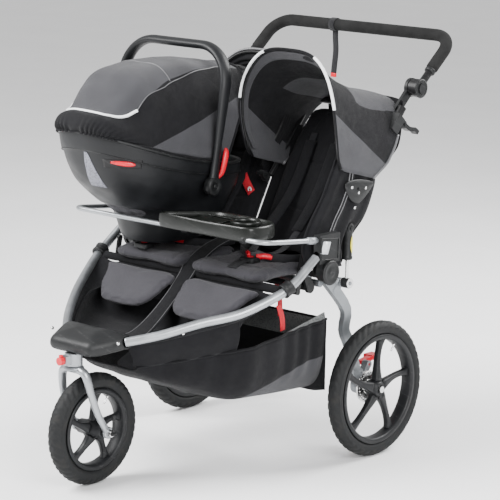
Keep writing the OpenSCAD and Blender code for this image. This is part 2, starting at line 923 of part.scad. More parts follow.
front_frame_tubes();
nose_cover();
swivel_housing();
seat_crossbars();
hub_brackets();
hub_bolts();
seat_pads();
calf_pads();
footwell();
basket();
harness_buckles();
buckle_button_right();
buckle_button_left();
swivel_lock_knob();
fork_crown();
fork_legs();
front_axle();
front_quick_release();
front_rim();
front_tyre();
rear_brackets();
swing_arms();
rear_axles();
shock_cylinders();
shock_bumpers();
shock_rods();
rear_rim_left();
rear_tyre_left();
brake_disc_left();
hub_button_left();
rear_rim_right();
rear_tyre_right();
brake_disc_right();
hub_button_right();
brake_pedal();
brake_pin_left();
brake_pin_right();
upper_frame_tubes();
knuckles();
canopy_mounts();
release_lever_left();
release_lever_right();
handlebar_tube();
handlebar_grip();
wrist_strap();
canopy_bow_right();
canopy_right();
canopy_bow_left();
canopy_left();
seat_back_right();
seat_back_left();
adapter_bar();
snack_tray();
carrier_shell();
carrier_liner();
carrier_handle();
carrier_handle_levers();
carrier_hood();
carrier_hood_bow();
carrier_release();
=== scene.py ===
"""Looks of a double jogging stroller with a docked infant carrier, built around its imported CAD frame.

Shapes are worked out in millimetres, with y counted from the fold hub and z from the floor.
"""

import json
import math

import bmesh
import bpy
import numpy as np
from mathutils import Matrix, Vector, noise
from mathutils.bvhtree import BVHTree


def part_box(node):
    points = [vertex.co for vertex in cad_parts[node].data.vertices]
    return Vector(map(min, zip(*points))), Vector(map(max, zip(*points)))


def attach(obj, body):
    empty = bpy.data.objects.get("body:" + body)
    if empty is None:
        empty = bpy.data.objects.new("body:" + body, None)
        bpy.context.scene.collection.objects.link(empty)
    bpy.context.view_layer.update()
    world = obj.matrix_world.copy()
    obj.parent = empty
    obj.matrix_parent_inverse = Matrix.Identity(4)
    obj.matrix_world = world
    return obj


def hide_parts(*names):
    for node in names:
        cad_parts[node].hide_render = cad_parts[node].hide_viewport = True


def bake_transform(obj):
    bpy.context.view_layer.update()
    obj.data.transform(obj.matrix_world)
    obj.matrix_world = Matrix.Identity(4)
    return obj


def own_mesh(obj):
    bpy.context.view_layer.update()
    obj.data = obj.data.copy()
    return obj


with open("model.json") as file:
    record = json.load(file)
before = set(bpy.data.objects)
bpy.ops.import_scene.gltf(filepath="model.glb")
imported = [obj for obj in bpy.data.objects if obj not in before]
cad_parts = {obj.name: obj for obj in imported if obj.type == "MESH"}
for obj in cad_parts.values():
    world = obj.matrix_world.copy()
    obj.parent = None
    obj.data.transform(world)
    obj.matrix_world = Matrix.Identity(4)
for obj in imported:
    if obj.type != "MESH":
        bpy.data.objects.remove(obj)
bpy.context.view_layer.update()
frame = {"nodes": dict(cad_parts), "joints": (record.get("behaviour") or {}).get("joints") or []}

JOINTS = {j["name"]: j for j in frame["joints"]}
HUB_Y = JOINTS["frame_fold"]["pos_m"][1] * 1000
X, Y, Z = np.eye(3)


# ---- Points, curves and meshes ----


def pivot(joint):
    """A joint's place, in mm from the hub's y."""
    return np.array(JOINTS[joint]["pos_m"]) * 1000 - [0, HUB_Y, 0]


def node_box(name):
    """Lowest and highest corners of a CAD node, in mm from the hub's y."""
    low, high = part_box(name)
    return np.array(low) * 1000 - [0, HUB_Y, 0], np.array(high) * 1000 - [0, HUB_Y, 0]


def metres(points):
    return (np.asarray(points, float) + [0, HUB_Y, 0]) / 1000


def unit(v):
    v = np.asarray(v, float)
    return v / np.maximum(np.linalg.norm(v, axis=-1, keepdims=True), 1e-9)


def mirrored(points):
    return np.asarray(points, float) * [-1, 1, 1]


def spline(points, count, closed=False):
    """Smooth curve, or row of curves, through the points."""
    p = np.asarray(points, float)
    n = len(p)
    t = np.linspace(0, n if closed else n - 1, count, endpoint=not closed)
    i = np.minimum(t.astype(int), n - 1 if closed else n - 2)
    f = (t - i).reshape((-1,) + (1,) * (p.ndim - 1))
    a, b, c, d = [p[(i + k) % n if closed else np.clip(i + k, 0, n - 1)] for k in (-1, 0, 1, 2)]
    bend = (2 * a - 5 * b + 4 * c - d) * f**2 + (3 * b - a - 3 * c + d) * f**3
    return 0.5 * (2 * b + (c - a) * f + bend)


def net(rows, nu, nv, closed=False):
    """Smooth surface through a net of points, as an array of nu by nv points."""
    return spline(spline(rows, nu).swapaxes(0, 1), nv, closed).swapaxes(0, 1)


def spaced(path, count):
    """The same polyline with its points at even distances."""
    p = np.asarray(path, float)
    s = np.concatenate([[0], np.cumsum(np.linalg.norm(np.diff(p, axis=0), axis=1))])
    at = np.linspace(0, s[-1], count)
    return np.stack([np.interp(at, s, p[:, k]) for k in range(p.shape[1])], axis=1)


def wobble(points, size, seed):
    """Smooth noise from -1 to 1 at each point, with lumps about size mm wide."""
    flat = np.asarray(points, float).reshape(-1, 3) / size + seed * 7.3
    values = [noise.noise(Vector(p)) for p in flat]
    return np.array(values).reshape(np.shape(points)[:-1])


def grid_normals(p):
    return unit(np.cross(np.gradient(p, axis=0), np.gradient(p, axis=1)))


def rumpled(p, depth, size, seed):
    """A surface with soft uneven folds."""
    return p + grid_normals(p) * (depth * wobble(p, size, seed))[..., None]


class Piece:
    """Collects grids and sweeps of one material or more, and makes them one object."""

    def __init__(self):
        self.verts, self.faces, self.slots, self.count = [], [], [], 0

    def add(self, verts, faces, slot=0):
        verts = np.asarray(verts, float).reshape(-1, 3)
        self.verts.append(verts)
        self.faces += [tuple(int(i) + self.count for i in f) for f in faces]
        self.slots += [slot] * len(faces)
        self.count += len(verts)
        return self

    def grid(self, p, slot=0, close_u=False, close_v=False):
        nu, nv = p.shape[:2]
        faces = [
            (i * nv + j, (i + 1) % nu * nv + j, (i + 1) % nu * nv + (j + 1) % nv, i * nv + (j + 1) % nv)
            for i in range(nu if close_u else nu - 1)
            for j in range(nv if close_v else nv - 1)
        ]
        return self.add(p, faces, slot)

    def sweep(self, path, section, side=None, slot=0, closed=False, caps=True):
        """Carries a section, or one section per point, along a path. side is the section's first axis."""
        path = np.asarray(path, float)
        n = len(path)
        if closed:
            tangent = unit(np.roll(path, -1, 0) - np.roll(path, 1, 0))
        else:
            tangent = unit(np.gradient(path, axis=0))
        if side is None:
            first = [unit(np.cross(tangent[0], X if abs(tangent[0][0]) < 0.9 else Z))]
            for t in tangent[1:]:
                first.append(unit(first[-1] - t * (first[-1] @ t)))
            first = np.array(first)
        else:
            side = np.broadcast_to(np.asarray(side, float), path.shape)
            first = unit(side - tangent * np.sum(side * tangent, axis=1, keepdims=True))
        second = np.cross(tangent, first)
        s = np.asarray(section, float)
        s = np.broadcast_to(s, (n,) + s.shape[-2:])
        p = path[:, None] + s[..., :1] * first[:, None] + s[..., 1:] * second[:, None]
        start = self.count
        self.grid(p, slot, close_u=closed, close_v=True)
        if caps and not closed:
            k = s.shape[1]
            self.faces.append(tuple(start + j for j in range(k)))
            self.faces.append(tuple(start + (n - 1) * k + k - 1 - j for j in range(k)))
            self.slots += [slot, slot]
        return self

    def tube(self, path, r, slot=0, n=20, closed=False, flat=1.0, side=None):
        """Round bar; r may change along the path, and flat squeezes the section's second axis."""
        r = np.broadcast_to(np.asarray(r, float), (len(path),))
        a = np.linspace(0, 2 * math.pi, n, endpoint=False)
        ring = np.stack([np.cos(a), flat * np.sin(a)], axis=1)
        return self.sweep(path, r[:, None, None] * ring, side, slot, closed)

    def strap(self, path, width, thick, side, slot=0):
        """Flat webbing with soft edges, its width along side."""
        w, t = width / 2, thick / 2
        section = [
            [w, 0], [w - t, t], [0, 1.15 * t], [t - w, t], [-w, 0], [t - w, -t], [0, -1.15 * t], [w - t, -t],
        ]
        return self.sweep(path, section, side, slot)

    def spin(self, centre, profile, n=48, slot=0, axis=X, start=Z):
        """Closed profile of [radius, distance along axis], turned about an axis through centre."""
        a = np.linspace(0, 2 * math.pi, n, endpoint=False)
        other = np.cross(axis, start)
        around = np.cos(a)[:, None] * start + np.sin(a)[:, None] * other
        profile = np.asarray(profile, float)
        p = centre + profile[:, :1] * around[:, None] + profile[:, 1:] * np.asarray(axis, float)
        return self.grid(p, slot, close_u=True, close_v=True)

    def mirror(self):
        """Adds the same again on the other side."""
        verts = np.concatenate(self.verts)
        faces = [tuple(reversed(f)) for f in self.faces]
        slots = list(self.slots)
        start = self.count
        self.verts.append(mirrored(verts))
        self.faces += [tuple(i + start for i in f) for f in faces]
        self.slots += slots
        self.count *= 2
        return self

    def object(self, name, materials, body=None, finish=None, replaces=()):
        """Makes the object. finish is not used."""
        mesh = bpy.data.meshes.new(name)
        mesh.from_pydata(metres(np.concatenate(self.verts)).tolist(), [], self.faces)
        for m in materials if isinstance(materials, (list, tuple)) else [materials]:
            mesh.materials.append(m)
        mesh.polygons.foreach_set("material_index", self.slots)
        mesh.polygons.foreach_set("use_smooth", [True] * len(mesh.polygons))
        mesh.update()
        tidy_mesh(mesh)
        obj = bpy.data.objects.new(name, mesh)
        bpy.context.scene.collection.objects.link(obj)
        return settle(obj, body, replaces)


def settle(obj, body=None, replaces=()):
    if body:
        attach(obj, body)
    if replaces:
        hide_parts(*replaces)
    return obj


def tidy_mesh(mesh):
    """Joins points that meet, and turns the faces of closed shells outwards."""
    bm = bmesh.new()
    bm.from_mesh(mesh)
    bmesh.ops.remove_doubles(bm, verts=bm.verts, dist=0.00002)
    bmesh.ops.recalc_face_normals(bm, faces=bm.faces)
    bm.to_mesh(mesh)
    bm.free()


def modifier(obj, kind, **values):
    m = obj.modifiers.new(kind.title(), kind)
    for key, value in values.items():
        setattr(m, key, value)
    return m


def thicken(obj, thick, offset=-1.0):
    modifier(obj, "SOLIDIFY", thickness=thick / 1000, offset=offset, use_even_offset=False)
    return obj


def soften_edges(obj, width, angle=35):
    modifier(
        obj, "BEVEL", width=width / 1000, segments=3,
        limit_method="ANGLE", angle_limit=math.radians(angle),
    )
    modifier(obj, "WEIGHTED_NORMAL", keep_sharp=False, weight=90)
    return obj


def recolour(obj, planes, slot, inside=lambda c: True):
    """Cuts a mesh along planes, given as point and normal, and gives what lies beyond them all a slot."""
    bm = bmesh.new()
    bm.from_mesh(obj.data)
    planes = [(Vector(metres(point)), Vector(unit(normal))) for point, normal in planes]
    for co, no in planes:
        everything = bm.verts[:] + bm.edges[:] + bm.faces[:]
        bmesh.ops.bisect_plane(bm, geom=everything, plane_co=co, plane_no=no, dist=1e-6)
    for f in bm.faces:
        centre = f.calc_center_median()
        beyond = all((centre - co).dot(no) > 0 for co, no in planes)
        if beyond and inside(np.array(centre) * 1000 - [0, HUB_Y, 0]):
            f.material_index = slot
    bm.to_mesh(obj.data)
    bm.free()


def outline_planes(points, axis):
    """Planes along axis through the sides of a convex outline, facing inwards."""
    points = np.asarray(points, float)
    middle = points.mean(0)
    planes = []
    for a, b in zip(points, np.roll(points, -1, axis=0)):
        normal = np.cross(b - a, axis)
        planes.append((a, normal * np.sign((middle - a) @ normal)))
    return planes


def evaluated(obj):
    """The object's mesh with its modifiers applied."""
    deps = bpy.context.evaluated_depsgraph_get()
    return bpy.data.meshes.new_from_object(obj.evaluated_get(deps))


def tree_of(obj):
    """For finding a surface's points, in metres."""
    mesh = evaluated(obj)
    tree = BVHTree.FromPolygons([v.co for v in mesh.vertices], [p.vertices[:] for p in mesh.polygons])
    bpy.data.meshes.remove(mesh)
    return tree


def landed(points, tree, direction, lift):
    """Moves points along direction to a surface, or to its nearest place, then back by lift mm."""
    shape = np.shape(points)
    d = unit(direction)
    out = []
    for p in np.asarray(points, float).reshape(-1, 3):
        start = Vector(metres(p))
        hit = tree.ray_cast(start, Vector(d))[0] or tree.find_nearest(start)[0]
        out.append(np.array(hit) * 1000 - [0, HUB_Y, 0] - d * lift)
    return np.array(out).reshape(shape)


# ---- Materials ----


class Nodes:
    """Short names for building a shader."""

    def __init__(self, name):
        self.material = bpy.data.materials.new(name)
        self.material.use_nodes = True
        self.tree = self.material.node_tree
        self.shader = self.tree.nodes["Principled BSDF"]
        self.place = self.tree.nodes.new("ShaderNodeTexCoord").outputs["Object"]

    def link(self, a, b):
        self.tree.links.new(a, b)

    def node(self, kind, inputs=None, **values):
        n = self.tree.nodes.new(kind)
        for key, value in values.items():
            setattr(n, key, value)
        for key, value in (inputs or {}).items():
            if isinstance(value, bpy.types.NodeSocket):
                self.link(value, n.inputs[key])
            else:
                n.inputs[key].default_value = value
        return n

    def math(self, operation, a, b=0.0):
        n = self.tree.nodes.new("ShaderNodeMath")
        n.operation = operation
        for i, value in enumerate((a, b)):
            if isinstance(value, bpy.types.NodeSocket):
                self.link(value, n.inputs[i])
            else:
                n.inputs[i].default_value = value
        return n.outputs[0]

    def noise(self, size_mm, detail=3.0):
        inputs = {"Vector": self.place, "Scale": 1000 / size_mm, "Detail": detail}
        return self.node("ShaderNodeTexNoise", inputs).outputs["Fac"]

    def stripes(self, direction, period_mm):
        """Waves from -1 to 1 along a direction."""
        k = 2 * math.pi * 1000 / period_mm
        scaled = tuple(k * c for c in direction)
        dot = self.node("ShaderNodeVectorMath", {0: self.place, 1: scaled}, operation="DOT_PRODUCT")
        return self.math("SINE", dot.outputs["Value"])

    def weave(self, period_mm):
        """Over-and-under threads that show on a surface of any slope."""
        warp = self.stripes((0.2, 1, 1), period_mm)
        weft = self.stripes((1, -1, 0.5), period_mm)
        return self.math("MULTIPLY", warp, weft)

    def mix(self, fac, a, b):
        n = self.node("ShaderNodeMix", data_type="RGBA")
        self.link(fac, n.inputs["Factor"])
        for socket, value in (("A", a), ("B", b)):
            target = [s for s in n.inputs if s.identifier == socket + "_Color"][0]
            if isinstance(value, bpy.types.NodeSocket):
                self.link(value, target)
            else:
                target.default_value = (*value, 1)
        return [s for s in n.outputs if s.identifier == "Result_Color"][0]

    def ramp(self, value, low, high, to_low=0.0, to_high=1.0):
        inputs = {"Value": value, "From Min": low, "From Max": high, "To Min": to_low, "To Max": to_high}
        return self.node("ShaderNodeMapRange", inputs).outputs[0]

    def bump(self, height, strength, distance_mm, under=None):
        inputs = {"Height": height, "Strength": strength, "Distance": distance_mm / 1000}
        if under is not None:
            inputs["Normal"] = under
        return self.node("ShaderNodeBump", inputs).outputs[0]

    def finish(self, colour, rough, metal=0.0, normal=None, sheen=0.0, coat=0.0, shine=0.5):
        for key, value in (("Base Color", colour), ("Roughness", rough), ("Metallic", metal)):
            if isinstance(value, bpy.types.NodeSocket):
                self.link(value, self.shader.inputs[key])
            else:
                self.shader.inputs[key].default_value = value
        self.shader.inputs["Specular IOR Level"].default_value = shine
        self.shader.inputs["Sheen Weight"].default_value = sheen
        self.shader.inputs["Sheen Roughness"].default_value = 0.5
        self.shader.inputs["Coat Weight"].default_value = coat
        self.shader.inputs["Coat Roughness"].default_value = 0.15
        if normal is not None:
            self.link(normal, self.shader.inputs["Normal"])
        return self.material


def scaled(colour, k):
    return tuple(min(1.0, c * k) for c in colour)


def fabric(name, colour, thread_mm=1.6, sheen=0.1, vary=0.25, crease=0.6):
    """Woven cloth: threads, uneven dye, fine creases and a soft sheen."""
    n = Nodes(name)
    threads = n.weave(thread_mm)
    blotch = n.noise(60, 4)
    dyed = n.mix(n.ramp(blotch, 0.3, 0.7), scaled(colour, 1 - vary), scaled(colour, 1 + vary))
    shade = n.mix(n.ramp(threads, -1, 1, 0.0, 0.35), dyed, scaled(colour, 1.5))
    folds = n.bump(n.noise(28, 5), crease, 2.5)
    normal = n.bump(threads, 0.5, 0.35, folds)
    rough = n.ramp(n.noise(15), 0.3, 0.7, 0.72, 0.9)
    return n.finish(shade, rough, normal=normal, sheen=sheen, shine=0.12)


def webbing(name, colour):
    """Ribbed narrow strap."""
    n = Nodes(name)
    ribs = n.weave(2.6)
    shade = n.mix(n.ramp(ribs, -1, 1), scaled(colour, 0.7), scaled(colour, 1.6))
    return n.finish(shade, n.ramp(n.noise(9), 0.3, 0.7, 0.5, 0.72), normal=n.bump(ribs, 0.7, 0.5), sheen=0.05,
                    shine=0.2)


def mesh_cloth(name, thread, gap):
    """Open net: light threads around small dark holes."""
    n = Nodes(name)
    cells = n.node("ShaderNodeTexVoronoi", {"Vector": n.place, "Scale": 1000 / 4.2}).outputs["Distance"]
    holes = n.ramp(cells, 0.28, 0.42)
    shade = n.mix(holes, gap, thread)
    return n.finish(shade, n.ramp(n.noise(9), 0.3, 0.7, 0.55, 0.8), normal=n.bump(holes, 0.6, 0.8))


def plastic(name, colour, rough=0.45, grain=0.25, coat=0.0, grain_mm=1.1, scuff=0.06):
    """Moulded plastic: fine grain, uneven gloss and light scuffs."""
    n = Nodes(name)
    fine = n.noise(grain_mm, 2)
    patches = n.noise(45, 4)
    shade = n.mix(n.ramp(patches, 0.35, 0.75), scaled(colour, 0.85), scaled(colour, 1.2))
    scratches = n.ramp(n.stripes((0.3, 0.5, 1), 38), 0.93, 1)
    worn = n.mix(n.math("MULTIPLY", scratches, n.ramp(n.noise(5, 5), 0.45, 0.8, 0, scuff * 10)), shade,
                 tuple(c + scuff for c in colour))
    gloss = n.ramp(patches, 0.3, 0.7, rough - 0.06, rough + 0.08)
    return n.finish(worn, gloss, normal=n.bump(fine, grain, 0.12), coat=coat, shine=0.25)


def metal(name, colour, rough=0.32, brush=0.12, metallic=1.0, grain_mm=0.9):
    """Metal with a faint brushed grain, handling marks and uneven polish."""
    n = Nodes(name)
    stretch = n.node("ShaderNodeMapping", {"Vector": n.place, "Scale": (1, 9, 9)})
    inputs = {"Vector": stretch.outputs[0], "Scale": 130 / grain_mm, "Detail": 4.0}
    lines = n.node("ShaderNodeTexNoise", inputs).outputs["Fac"]
    marks = n.noise(32, 5)
    shade = n.mix(n.ramp(marks, 0.35, 0.7), scaled(colour, 0.9), scaled(colour, 1.05))
    return n.finish(shade, n.ramp(marks, 0.3, 0.75, rough - 0.05, rough + 0.1), metallic,
                    n.bump(lines, brush, 0.15))


def rubber(name, colour, dust=(0.06, 0.055, 0.05)):
    """Tyre rubber with dust in it and a fine skin."""
    n = Nodes(name)
    dusty = n.ramp(n.noise(24, 6), 0.5, 0.8, 0, 0.5)
    rough = n.ramp(dusty, 0, 0.5, 0.62, 0.85)
    return n.finish(n.mix(dusty, colour, dust), rough, normal=n.bump(n.noise(1.5), 0.3, 0.2), shine=0.2)


def foam(name, colour):
    """Closed-cell grip foam with small pores."""
    n = Nodes(name)
    pores = n.node("ShaderNodeTexVoronoi", {"Vector": n.place, "Scale": 1000 / 2.4}).outputs["Distance"]
    shade = n.mix(n.ramp(n.noise(35, 4), 0.3, 0.7), scaled(colour, 0.75), scaled(colour, 1.35))
    return n.finish(shade, n.ramp(pores, 0, 0.6, 0.8, 0.95), normal=n.bump(pores, 0.5, 0.5), shine=0.15)


def reflective(name, colour, speck=0.35):
    """Reflective trim: a pale skin with a fine bead pattern."""
    n = Nodes(name)
    beads = n.node("ShaderNodeTexVoronoi", {"Vector": n.place, "Scale": 1000 / 1.8}).outputs["Distance"]
    shade = n.mix(n.ramp(beads, 0.1, 0.7, 0, speck), colour, scaled(colour, 0.45))
    rough = n.ramp(n.noise(12), 0.3, 0.7, 0.25, 0.45)
    return n.finish(shade, rough, normal=n.bump(beads, 0.25, 0.2), coat=0.2)


SILVER = metal("silver_satin", (0.34, 0.355, 0.37), 0.36, metallic=0.85)
CAST = metal("silver_cast", (0.26, 0.275, 0.29), 0.42, 0.35, metallic=0.75, grain_mm=1.6)
STEEL = metal("bright_steel", (0.7, 0.7, 0.7), 0.2)
BLACK_TUBE = plastic("black_powder_coat", (0.006, 0.006, 0.0065), 0.38, 0.3)
BLACK = plastic("black_moulding", (0.009, 0.0095, 0.01), 0.46, 0.4)
RIM = plastic("rim_moulding", (0.008, 0.0085, 0.0095), 0.42, 0.3)
GLOSSY = plastic("carrier_moulding", (0.006, 0.0065, 0.0075), 0.44, 0.2, coat=0.02, scuff=0.012)
TRAY = plastic("tray_moulding", (0.006, 0.007, 0.006), 0.3, 0.03, coat=0.1)
RED = plastic("red_moulding", (0.6, 0.006, 0.02), 0.28, 0.12, coat=0.3, scuff=0.03)
YELLOW = plastic("yellow_patch", (0.62, 0.56, 0.05), 0.4, 0.1)
RUBBER = rubber("tyre_rubber", (0.009, 0.0095, 0.01), (0.035, 0.033, 0.03))
FOAM = foam("grip_foam", (0.011, 0.011, 0.011))
CLOTH = fabric("black_cloth", (0.0055, 0.0055, 0.0065), sheen=0.035)
LINING = fabric("black_lining", (0.0035, 0.0035, 0.004), sheen=0.015, crease=0.3)
GREY = fabric("grey_cloth", (0.038, 0.038, 0.042), vary=0.15)
SEAT_GREY = fabric("seat_grey_cloth", (0.033, 0.032, 0.037), vary=0.12, crease=0.35)
STRAP = webbing("black_webbing", (0.008, 0.008, 0.0095))
RED_STRAP = webbing("red_webbing", (0.42, 0.01, 0.02))
PIPING = reflective("white_piping", (0.86, 0.87, 0.88), 0.1)
EDGING = reflective("grey_edging", (0.1, 0.1, 0.105), 0.2)
PATCH = reflective("pale_patch", (0.62, 0.64, 0.67))
SPECKLED = mesh_cloth("speckled_patch", (0.2, 0.205, 0.24), (0.06, 0.06, 0.08))
NET = mesh_cloth("open_net", (0.1, 0.105, 0.105), (0.015, 0.016, 0.016))


# ---- CAD nodes that are shown as they are ----

CAD_LOOKS = [
    (SILVER, 1.5, ["swivel_housing"]),
    (STEEL, 0.6, ["front_axle", "rear_axles", "shock_rods", "brake_disc_left", "brake_disc_right"]),
    (STEEL, 0.8, ["hub_button_left", "hub_button_right", "brake_pin_left", "brake_pin_right"]),
    (CAST, 2.5, ["swing_arms"]),
    (BLACK_TUBE, 0.8, ["upper_frame_tubes", "handlebar_tube"]),
    (BLACK_TUBE, 0.5, ["carrier_hood_bow"]),
    (BLACK, 2.0, ["rear_brackets", "knuckles", "canopy_mounts", "release_lever_left", "release_lever_right"]),
    (BLACK, 1.2, ["hub_bolts", "seat_crossbars", "front_quick_release"]),
    (BLACK, 3.0, ["hub_brackets"]),
    (RUBBER, 1.0, ["shock_bumpers"]),
    (RED, 1.5, ["brake_pedal", "swivel_lock_knob", "buckle_button_right", "buckle_button_left"]),
]


def show_cad(name, material, edge):
    obj = frame["nodes"][name]
    obj.data.materials.clear()
    obj.data.materials.append(material)
    if "custom_normal" in obj.data.attributes:
        obj.data.attributes.remove(obj.data.attributes["custom_normal"])
    obj.data.polygons.foreach_set("use_smooth", [True] * len(obj.data.polygons))
    modifier(obj, "WELD", merge_threshold=0.00001)
    soften_edges(obj, edge)


for look, edge_mm, names in CAD_LOOKS:
    for cad_node in names:
        show_cad(cad_node, look, edge_mm)


# ---- Wheels ----


def tyre(name, node, body):
    """Tyre with raised blocks across its tread and a ring on each wall."""
    low, high = node_box(node)
    centre = (low + high) / 2
    radius = (high[2] - low[2]) / 2
    half = (high[0] - low[0]) / 2
    lug, blocks, around, across = 1.6, 44, 352, 40
    a = np.linspace(0, 2 * math.pi, around, endpoint=False)[:, None]
    b = np.linspace(-math.pi, math.pi, across, endpoint=False)[None]
    side = np.sin(b)
    groove = np.sin(blocks * a + 9 * np.abs(side)) > -0.35
    crown = (np.abs(side) > 0.16) | (np.sin(blocks * a * 0.5) > 0)
    tread = (np.cos(b) > 0.25) & groove & crown
    wall_ring = 0.9 * np.exp(-(((np.abs(side) - 0.93) / 0.05) ** 2)) * (np.cos(b) < 0.4)
    section = half - lug + lug * tread + wall_ring
    r = radius - half + section * np.cos(b)
    r = np.maximum(r, radius - 1.72 * half)
    p = centre + np.stack([section * side * 0.99 + 0 * a, r * np.sin(a), r * np.cos(a)], axis=-1)
    Piece().grid(p, 0, True, True).object(name, RUBBER, body, "tyre_rubber", [node])


def rim(name, node, body, outward):
    """Five twisted, tapering spokes between a hub barrel and a channel for the tyre, and a valve."""
    low, high = node_box(node)
    tyre_low, tyre_high = node_box(node.replace("rim", "tyre"))
    centre = (tyre_low + tyre_high) / 2
    half = (tyre_high[0] - tyre_low[0]) / 2
    outer = (high[2] - low[2]) / 2
    inner = outer - 13
    flank = 0.8 * half
    wheel = Piece()
    channel = [
        [inner, -flank + 3], [inner - 2, 0], [inner, flank - 3], [inner + 3, flank + 1],
        [outer + 1, flank + 2],
        [outer + 2, flank], [outer + 1, flank - 4], [outer - 6, flank - 9], [outer - 6, 9 - flank],
        [outer + 1, 4 - flank], [outer + 2, -flank], [outer + 1, -flank - 2], [inner + 3, -flank - 1],
    ]
    wheel.spin(centre, channel, 96)
    hub_ends = [low[0] - centre[0], high[0] - centre[0]]
    barrel = [
        [7, hub_ends[0] + 1], [17, hub_ends[0] + 1], [20, hub_ends[0] + 4], [22, -14], [29, -8], [30, 8],
        [22, 15], [20, hub_ends[1] - 4], [17, hub_ends[1] - 1], [12, hub_ends[1] - 2], [11, hub_ends[1] - 6],
        [7, hub_ends[1] - 6],
    ]
    wheel.spin(centre, barrel, 40)
    count = 5
    t = np.linspace(0, 1, 16)
    corner = np.linspace(0, 2 * math.pi, 20, endpoint=False)
    squared = np.stack([np.sign(f(corner)) * np.abs(f(corner)) ** 0.6 for f in (np.cos, np.sin)], axis=1)
    for k in range(count):
        turn = 2 * math.pi * k / count
        lean = turn + 0.16 * t**1.4
        reach = 24 + (inner - 21) * t
        out = np.stack([0 * t, np.sin(lean), np.cos(lean)], axis=1)
        path = centre + reach[:, None] * out + (outward * 7 * (1 - t) ** 2)[:, None] * X
        wide = spline([[15], [11], [8.5], [8], [9], [14]], len(t))[:, 0]
        deep = spline([[12], [11], [9.5], [9], [9], [10]], len(t))[:, 0]
        section = squared[None] * np.stack([wide, deep], axis=1)[:, None]
        sideways = np.stack([0 * t, np.cos(lean), -np.sin(lean)], axis=1)
        wheel.sweep(path, section, sideways)
    valve_at = 2 * math.pi * 0.5 / count
    valve_dir = np.array([0, math.sin(valve_at), math.cos(valve_at)])
    valve = Piece().tube(centre + np.outer(np.linspace(inner - 24, inner + 2, 8), valve_dir),
                         [2.2, 2.6, 2.6, 2.6, 2.2, 3, 3.4, 3.4], n=14)
    valve.object(name + "_valve", STEEL, body, "steel")
    wheel.object(name, RIM, body, "black_plastic", [node])


for side_name, out in (("left", -1), ("right", 1)):
    wheel_body = "rear_wheel_" + side_name
    tyre("tyre_rear_" + side_name, "rear_tyre_" + side_name, wheel_body)
    rim("rim_rear_" + side_name, "rear_rim_" + side_name, wheel_body, out)
tyre("tyre_front", "front_tyre", "front_wheel")
rim("rim_front", "front_rim", "front_wheel", 1)


# ---- Front fork, front frame and nose ----

STEER_Y = pivot("steering")[1]
FRONT_AXLE = pivot("front_wheel_spin")


def fork():
    """Two bent legs, the crown that holds them and the stem."""
    foot = FRONT_AXLE + [60, 0, -4]
    leg = spline([
        [0, STEER_Y + 1, 333], [26, STEER_Y + 1, 332], [45, STEER_Y + 3, 318], [54, STEER_Y + 13, 268],
        [59, STEER_Y + 34, 210], foot,
    ], 40)
    radius = spline([[13], [13], [12.5], [11], [10], [9]], 40)[:, 0]
    legs = Piece().tube(leg, radius, n=24, flat=0.86, side=Y)
    eye = [[6.2, -6], [14.5, -6], [16, -4.5], [16, 4.5], [14.5, 6], [6.2, 6]]
    legs.spin(FRONT_AXLE + [60, 0, 0], eye, 40).mirror()
    legs.object("fork_legs", SILVER, "fork", "silver_tube", ["fork_legs"])
    crown = Piece().spin(np.array([0, STEER_Y, 0]), [
        [0.1, 330], [25, 331], [28, 334], [28, 338], [24, 342], [11, 343], [10, 346], [10, 372], [0.1, 372],
    ], 48, axis=Z, start=X)
    crown.object("fork_crown", CAST, "fork", "silver_tube", ["fork_crown"])
    nuts = Piece().spin(FRONT_AXLE + [67, 0, 0], [
        [0.1, 0], [9.5, 0], [10, 1], [10, 6], [8.5, 8], [4, 8.5], [0.1, 8.5]
    ], 6).mirror()
    nuts.object("front_axle_nuts", STEEL, "fork", "steel")


def front_tubes():
    path = spline([
        [112, -520, 411], [176, -452, 430], [241, -367, 459], [303, -278, 481], [349, -183, 522],
        [361, -132, 549], [363, -78, 586], [363, -42, 610],
    ], 90)
    tubes = Piece().tube(path, 12.5, n=32).mirror()
    tubes.object("front_frame_tubes", SILVER, "front_frame", "silver_tube", ["front_frame_tubes"])
    bolts = Piece()
    for at, axis in (([214, -404, 434], -Z), ([126, -560, 417], X), ([363, -60, 582], -Z)):
        start = Y if axis[2] else Z
        head = [[0.1, -3], [4.5, -3], [4.5, 2], [3, 4], [0.1, 4]]
        bolts.spin(np.array(at, float), head, 20, 0, axis, start)
    bolts.mirror().object("frame_bolts", STEEL, "front_frame", "steel")


def nose():
    """Domed cover with a shallow dish on top, made from the CAD form's own outline."""
    source = frame["nodes"]["nose_cover"]
    obj = bpy.data.objects.new("nose_cover_form", source.data.copy())
    bpy.context.scene.collection.objects.link(obj)
    modifier(obj, "REMESH", mode="VOXEL", voxel_size=0.004)
    modifier(obj, "SMOOTH", factor=0.8, iterations=14)
    mesh = evaluated(obj)
    bpy.data.objects.remove(obj)
    top = max(v.co.z for v in mesh.vertices)
    dish_at = Vector(metres([0, -555, 0]))
    for v in mesh.vertices:
        away = math.hypot((v.co.x - dish_at.x) / 0.058, (v.co.y - dish_at.y) / 0.036)
        near_top = max(0.0, 1 - (top - v.co.z) / 0.02)
        v.co.z -= 0.007 * near_top * math.exp(-(away**2.6))
    mesh.polygons.foreach_set("use_smooth", [True] * len(mesh.polygons))
    mesh.materials.clear()
    mesh.materials.append(BLACK)
    cover = bpy.data.objects.new("nose_cover_smooth", mesh)
    bpy.context.scene.collection.objects.link(cover)
    modifier(cover, "SUBSURF", levels=1, render_levels=1)
    settle(cover, "front_frame", ["nose_cover"])


fork()
front_tubes()
nose()


# ---- Handlebar, adapter bar and tray ----


